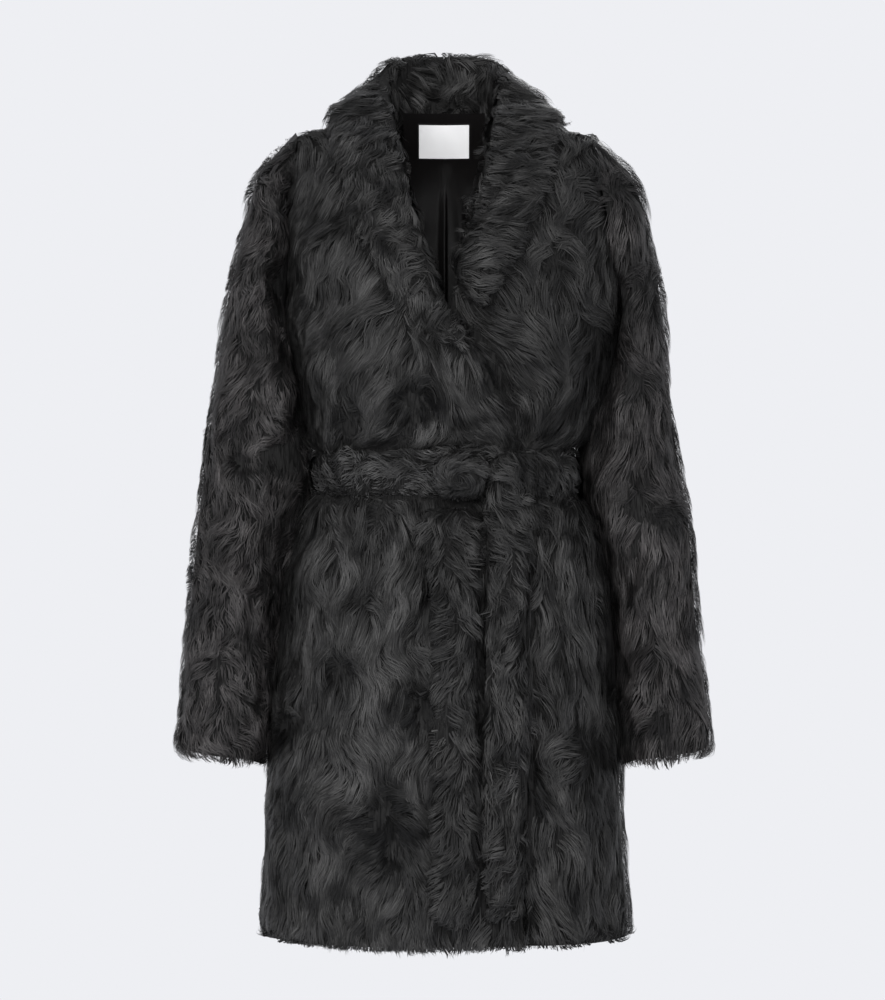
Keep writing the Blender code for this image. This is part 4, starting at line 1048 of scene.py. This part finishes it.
def finish_shader(tree, shader, colour, height, strength):
    """Links a colour to the shader, and a bump from a height."""
    bump = add(tree, "ShaderNodeBump", {"Height": height, "Strength": strength, "Distance": BUMP_DEPTH})
    tree.links.new(colour, shader.inputs["Base Color"])
    tree.links.new(bump.outputs["Normal"], shader.inputs["Normal"])


print("bump depth in mm:", BUMP_DEPTH / MM)

# %% [markdown]
# ## Fur
#
# Black fur isn't one black. The tone of a hair comes from its column in the shared map, fine streaks along it stand
# for the hairs of a wisp, and its root is painted darker than its tip, as painted shade down among the hairs. The
# body, sleeves and belt share this as one node group, and each has its own black; the belt's is painted lighter, as
# painted light against the shade that the body casts on it.

# %% Fur
# Along a hair the root is painted darker than the tip: painted shade down among the hairs.
CURVES = {"Hairs": ((0.34, 0.5), (0.66, 1.55)), "Along": ((0.0, 0.75), (0.4, 1.0), (1.0, 1.02))}


def fur_group():
    """Fine hairs along a wisp: its colour share and the height of its hairs, from its place in the shared map."""
    tree = bpy.data.node_groups.new("wisp of hairs", "ShaderNodeTree")
    for name in ("Tone", "Hairs", "Along"):
        tree.interface.new_socket(name, in_out="OUTPUT", socket_type="NodeSocketFloat")
    place = add(tree, "ShaderNodeUVMap", uv_map=WISP_MAP).outputs["UV"]
    split = add(tree, "ShaderNodeSeparateXYZ", {"Vector": place})
    column = calculate(tree, "FLOOR", calculate(tree, "MULTIPLY", split.outputs["X"], TONES_ACROSS))
    along = calculate(tree, "FRACT", calculate(tree, "MULTIPLY", split.outputs["Y"], WISPS_DOWN))
    tones = {"Value": column, "From Max": TONES_ACROSS - 1, "To Min": LEAST_TONE, "To Max": MOST_TONE}
    tone = add(tree, "ShaderNodeMapRange", tones).outputs[0]
    scale = (TONES_ACROSS * 3.2, WISPS_DOWN * 1.1, 1)
    stretch = add(tree, "ShaderNodeMapping", {"Vector": place, "Scale": scale}).outputs[0]
    fine = {"Vector": stretch, "Scale": 1.0, "Detail": 2.0, "Roughness": 0.6}
    streaks = add(tree, "ShaderNodeTexNoise", fine, noise_dimensions="2D").outputs["Fac"]
    add(tree, "NodeGroupOutput", {"Tone": tone, "Hairs": streaks, "Along": along})
    return tree


def curved(tree, value, stops):
    """A value changed by a curve through the stops."""
    made = add(tree, "ShaderNodeFloatCurve", {"Value": value})
    curve = made.mapping.curves[0]
    made.mapping.use_clip = False
    while len(curve.points) < len(stops):
        curve.points.new(0.5, 0.5)
    for point, stop in zip(curve.points, stops):
        point.location = stop
    made.mapping.update()
    return made.outputs["Value"]


def fur_material(name, colour):
    material, shader = new_material(name, 0.48, 0.22)
    tree = material.node_tree
    wisp = add(tree, "ShaderNodeGroup", node_tree=WISP)
    product = wisp.outputs["Tone"]
    for socket, stops in CURVES.items():
        product = calculate(tree, "MULTIPLY", product, curved(tree, wisp.outputs[socket], stops))
    tint = add(tree, "ShaderNodeVectorMath", {0: colour, "Scale": product}, operation="SCALE")
    finish_shader(tree, shader, tint.outputs[0], wisp.outputs["Hairs"], 0.5)
    return material


WISP = fur_group()
FUR = {
    BODY: fur_material("black lamb fur", BODY),
    SLEEVE: fur_material("warm black lamb fur", SLEEVE),
    # Painted light: the belt's fur is lighter than the body's.
    BELT: fur_material("black lamb fur with painted light", BELT),
}
print("fur:", [material.name for material in FUR.values()])

# %% [markdown]
# ## Underfur and cloth
#
# Between the locks the pelt shows, nearly black, with short hair that runs down. The satin is darker still and
# shines a little, and the label is white cloth that glows a little, painted light against the shade inside the neck.
# Satin and label share a weave as a node group, each with its own count of threads. A picture of cloth would blur
# close by.

# %% Underfur and cloth


def mottled(tree, place, colour, noise, dark, light):
    """A colour changed by a noise. Each of dark and light is a place in the noise and a share of the colour."""
    streaks = add(tree, "ShaderNodeTexNoise", {"Vector": place, **noise})
    ramp = add(tree, "ShaderNodeValToRGB", {"Fac": streaks.outputs["Fac"]})
    for stop, (position, share) in zip(ramp.color_ramp.elements, (dark, light)):
        stop.position = position
        stop.color = (*[min(c * share, 1) for c in colour], 1)
    return ramp.outputs["Color"]


def underfur_material(name, colour):
    """The short hair on the pelt itself, which shows between the locks: fine streaks that run down."""
    material, shader = new_material(name, 0.8, 0.1)
    tree = material.node_tree
    place = add(tree, "ShaderNodeTexCoord").outputs["Object"]
    stretch = add(tree, "ShaderNodeMapping", {"Vector": place, "Scale": (620, 620, 60)}).outputs[0]
    noise = {"Scale": 1.0, "Detail": 2.0, "Distortion": 0.6}
    streaks = mottled(tree, stretch, colour, noise, (0.36, 0.25), (0.64, 1.5))
    tree.links.new(streaks, shader.inputs["Base Color"])
    return material


def weave_group():
    """Crossing threads of a given fineness, as a height."""
    tree = bpy.data.node_groups.new("weave", "ShaderNodeTree")
    tree.interface.new_socket("Fineness", in_out="INPUT", socket_type="NodeSocketFloat")
    tree.interface.new_socket("Threads", in_out="OUTPUT", socket_type="NodeSocketFloat")
    fineness = add(tree, "NodeGroupInput").outputs["Fineness"]
    place = add(tree, "ShaderNodeTexCoord").outputs["Object"]
    weave = add(tree, "ShaderNodeTexWave", {"Vector": place, "Scale": fineness, "Distortion": 1.5})
    add(tree, "NodeGroupOutput", {"Threads": weave.outputs["Fac"]})
    return tree


def cloth_material(name, colour, roughness, fineness, strength, specular=0.3):
    """Fine cloth: a slow change of tone, and a bump of crossing threads."""
    material, shader = new_material(name, roughness, specular)
    tree = material.node_tree
    place = add(tree, "ShaderNodeTexCoord").outputs["Object"]
    tone = mottled(tree, place, colour, {"Scale": 26.0, "Detail": 3.0}, (0.3, 0.8), (0.7, 1.2))
    weave = add(tree, "ShaderNodeGroup", node_tree=WEAVE)
    weave.inputs["Fineness"].default_value = fineness
    finish_shader(tree, shader, tone, weave.outputs["Threads"], strength)
    return material


WEAVE = weave_group()
PELT = underfur_material("dark underfur", (0.0112, 0.0110, 0.0108))
SATIN = cloth_material("black satin lining", (0.0026, 0.0020, 0.0020), 0.4, 900.0, 0.15, 0.24)
LABEL = cloth_material("white woven label", (0.96, 0.965, 0.97), 0.7, 1500.0, 0.2)
# The label glows a little: painted light that keeps it white in the shade inside the neck.
label_painted_glow = LABEL.node_tree.nodes["Principled BSDF"].inputs
label_painted_glow["Emission Color"].default_value = (1, 1, 1, 1)
label_painted_glow["Emission Strength"].default_value = 0.2
THREAD, thread_shader = new_material("black thread", 0.6)
thread_shader.inputs["Base Color"].default_value = (0.012, 0.012, 0.012, 1)
print("cloth:", [material.name for material in (PELT, SATIN, LABEL, THREAD)])

# %% [markdown]
# ## Pelts and fur
#
# The pelt is the same wall with its furred side drawn in by the depth of the fur. Its inner side is the satin
# lining. Growing the hairs takes most of this script's time.

# %% Pelts and fur


def smooth_piece(name, mesh):
    mesh.shade_smooth()
    mesh.set_sharp_from_angle(angle=math.radians(60))
    return into_scene(name, mesh)


def solid_mesh(name, points, faces, *materials):
    mesh = bpy.data.meshes.new(name)
    mesh.from_pydata(points.tolist(), [], faces.tolist())
    for material in materials:
        mesh.materials.append(material)
    return mesh


def pelt_of(node):
    skin = SKINS[node]
    points = skin.points - skin.normals * skin.depths[:, None]
    mesh = solid_mesh(node + "_pelt", points, skin.all_faces, PELT, SATIN)
    mesh.polygons.foreach_set("material_index", skin.inner.astype(np.int32))
    return smooth_piece(node + "_pelt", mesh)


PELTS, FUR_PIECES = {}, {}
for order, node in enumerate(FURS):
    pelt = pelt_of(node)
    hairs = ribbon_mesh(node + "_fur", *grow(node, 40 + order))
    hairs.data.materials.append(FUR[FURS[node].tone])
    for piece in (pelt, hairs):
        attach(piece, "root")
    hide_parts(node)
    PELTS[node], FUR_PIECES[node] = pelt, hairs
    print(node, "triangles of fur:", len(hairs.data.polygons) // STEPS * (2 * STEPS - 1))

# %% [markdown]
# ## Lining and label
#
# Behind the neck the coat shows its black lining, which has a pressed pleat down its middle and soft folds beside
# it. The label is sewn there with black thread round its edge. The pleat is moved points in a finer mesh. A bump
# would be lighter, but it wouldn't cast the pleat's shadow.

# %% Lining and label
PLEAT_X, FOLD_X, HOLLOW_X = 1.6, 33.0, -30  # mm; the pleat, the fold beside it and the hollow on its other side
PLEAT_OUT, FOLD_OUT, FOLD_BACK, HOLLOW_OUT = 2.6, 4.5, 1.5, 2.0  # mm
FOLD_SLANT, HOLLOW_SLANT = 0.08, 0.1
CUTS_BESIDE_PLEAT = ((9, 50), (5, 50), (4, 14), (2, 8), (1.2, 5))  # mm; edges longer than, nearer than
EDGE_SCALE, EDGE_SHIFT = np.array([1.05, 1.08, 1.08]), np.array([0, 0.0006, 0.0002])


def lining_rise(x, z):
    """How far the lining stands out towards the front at x and z, all in mm."""
    beside, over = x - PLEAT_X, x - FOLD_X + (z + 150) * FOLD_SLANT
    pleat = PLEAT_OUT * math.exp(-abs(beside) / (14 if beside < 0 else 1.0))
    fold = FOLD_OUT * math.exp(-((over / 6) ** 2)) - FOLD_BACK * math.exp(-(((over + 11) / 5) ** 2))
    hollow = HOLLOW_OUT * math.exp(-(((x - HOLLOW_X - (z + 150) * HOLLOW_SLANT) / 8) ** 2))
    return smooth(-46, -100, z) * pleat + smooth(-60, -110, z) * (fold + hollow)


def press_pleats(cutter):
    """Cuts the lining finer beside its pleat and folds, and moves its front there."""
    for size, reach in CUTS_BESIDE_PLEAT:
        long = []
        for edge in cutter.edges:
            left, right = (corner.co.x for corner in edge.verts)
            if abs(left - right) > size * MM and abs((left + right) / 2 - PLEAT_X * MM) < reach * MM:
                long.append(edge)
        bmesh.ops.subdivide_edges(cutter, edges=long, cuts=1)
        bmesh.ops.triangulate(cutter, faces=cutter.faces)
    cutter.normal_update()
    for corner in cutter.verts:
        if corner.normal.y < -0.4:
            corner.co.y -= lining_rise(corner.co.x / MM, corner.co.z / MM) * MM


def finer(node, name, times, material):
    """A copy of a thin node with each triangle cut finer."""
    mesh = solid_mesh(name, SKINS[node].points, SKINS[node].all_faces, material)
    cutter = bmesh.new()
    cutter.from_mesh(mesh)
    for _ in range(times):
        bmesh.ops.subdivide_edges(cutter, edges=cutter.edges, cuts=1, use_grid_fill=True, smooth=0.0)
    bmesh.ops.triangulate(cutter, faces=cutter.faces)
    if node == "lining_back":
        press_pleats(cutter)
    cutter.to_mesh(mesh)
    cutter.free()
    return smooth_piece(name, mesh)


def label_edge():
    """The black thread round the label: a slightly larger copy, set a little behind it."""
    points = SKINS["label"].points
    middle = (points.min(axis=0) + points.max(axis=0)) / 2
    wider = middle + (points - middle) * EDGE_SCALE + EDGE_SHIFT
    mesh = solid_mesh("label_thread", wider, SKINS["label"].all_faces, THREAD)
    piece = into_scene("label_thread", mesh)
    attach(piece, "root")
    print("label from, to:", points.min(axis=0).round(4), points.max(axis=0).round(4))


label_edge()
lining = finer("lining_back", "back_lining", 1, SATIN)
label = finer("label", "neck_label", 2, LABEL)
for piece, node, slot in ((lining, "lining_back", "lining_satin"), (label, "label", "label_white")):
    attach(piece, "root")
    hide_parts(node)
    print(node, "triangles:", len(piece.data.polygons))

# %% [markdown]
# ## How the pieces are cut
#
# A maker cuts these pieces flat. The knot is a part of the belt's strip and has no cut of its own.

# %% [markdown]
# ## Stage and light
#
# The photograph was taken before a pale wall in soft light, with the brightest side at the picture's left. The wall
# is the world's colour, and a round floor far below shows where down is when the coat is seen from above.

# %% Stage
PALE = (0.855, 0.863, 0.896)
FLOOR_RADIUS, FLOOR_Z, FLOOR_SIDES = 1.4, -1.25, 64
LIGHTS = (  # name, place, aim, size in m, power in W
    ("key", (-1.6, -2.9, 1.0), (0, -0.1, -0.5), 1.0, 42),
    ("front", (-0.1, -3.9, 0.2), (0, -0.1, -0.4), 1.0, 40),
    ("fill", (1.9, -2.2, 0.2), (0, -0.1, -0.5), 1.4, 4),
    ("rim", (0.6, 2.2, 1.0), (0, 0, -0.4), 1.0, 12),
)


def make_world():
    world = bpy.data.worlds.new("studio")
    world.use_nodes = True
    background = world.node_tree.nodes["Background"].inputs
    background["Color"].default_value = (*PALE, 1)
    background["Strength"].default_value = 1.0
    bpy.context.scene.world = world
    bpy.context.scene.view_settings.view_transform = "Standard"


def make_floor():
    turns = np.linspace(0, 2 * math.pi, FLOOR_SIDES, endpoint=False)
    rim = [(FLOOR_RADIUS * math.cos(a), FLOOR_RADIUS * math.sin(a), FLOOR_Z) for a in turns]
    material, shader = new_material("pale floor", 0.7)
    shader.inputs["Base Color"].default_value = (*PALE, 1)
    mesh = solid_mesh("floor", np.array(rim), np.arange(FLOOR_SIDES)[None], material)
    floor = into_scene("floor", mesh)
    floor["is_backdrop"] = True


def make_light(name, place, aim, size, power):
    data = bpy.data.lights.new(name, "AREA")
    data.shape = "SQUARE"
    data.size = size
    data.energy = power
    light = into_scene(name, data)
    light.location = place
    light.rotation_euler = (Vector(aim) - Vector(place)).to_track_quat("-Z", "Y").to_euler()


make_world()
make_floor()
for row in LIGHTS:
    make_light(*row)
print("lights:", {name: power for name, *_, power in LIGHTS})

# %% [markdown]
# ## Finish
#
# The fur may make the dressed coat a little larger than the imported one, so both sizes are printed. The
# dressed coat may be larger than the imported one only by what fur adds.

# %% Finish
final_bounds = show_bounds("dressed model from, to:")
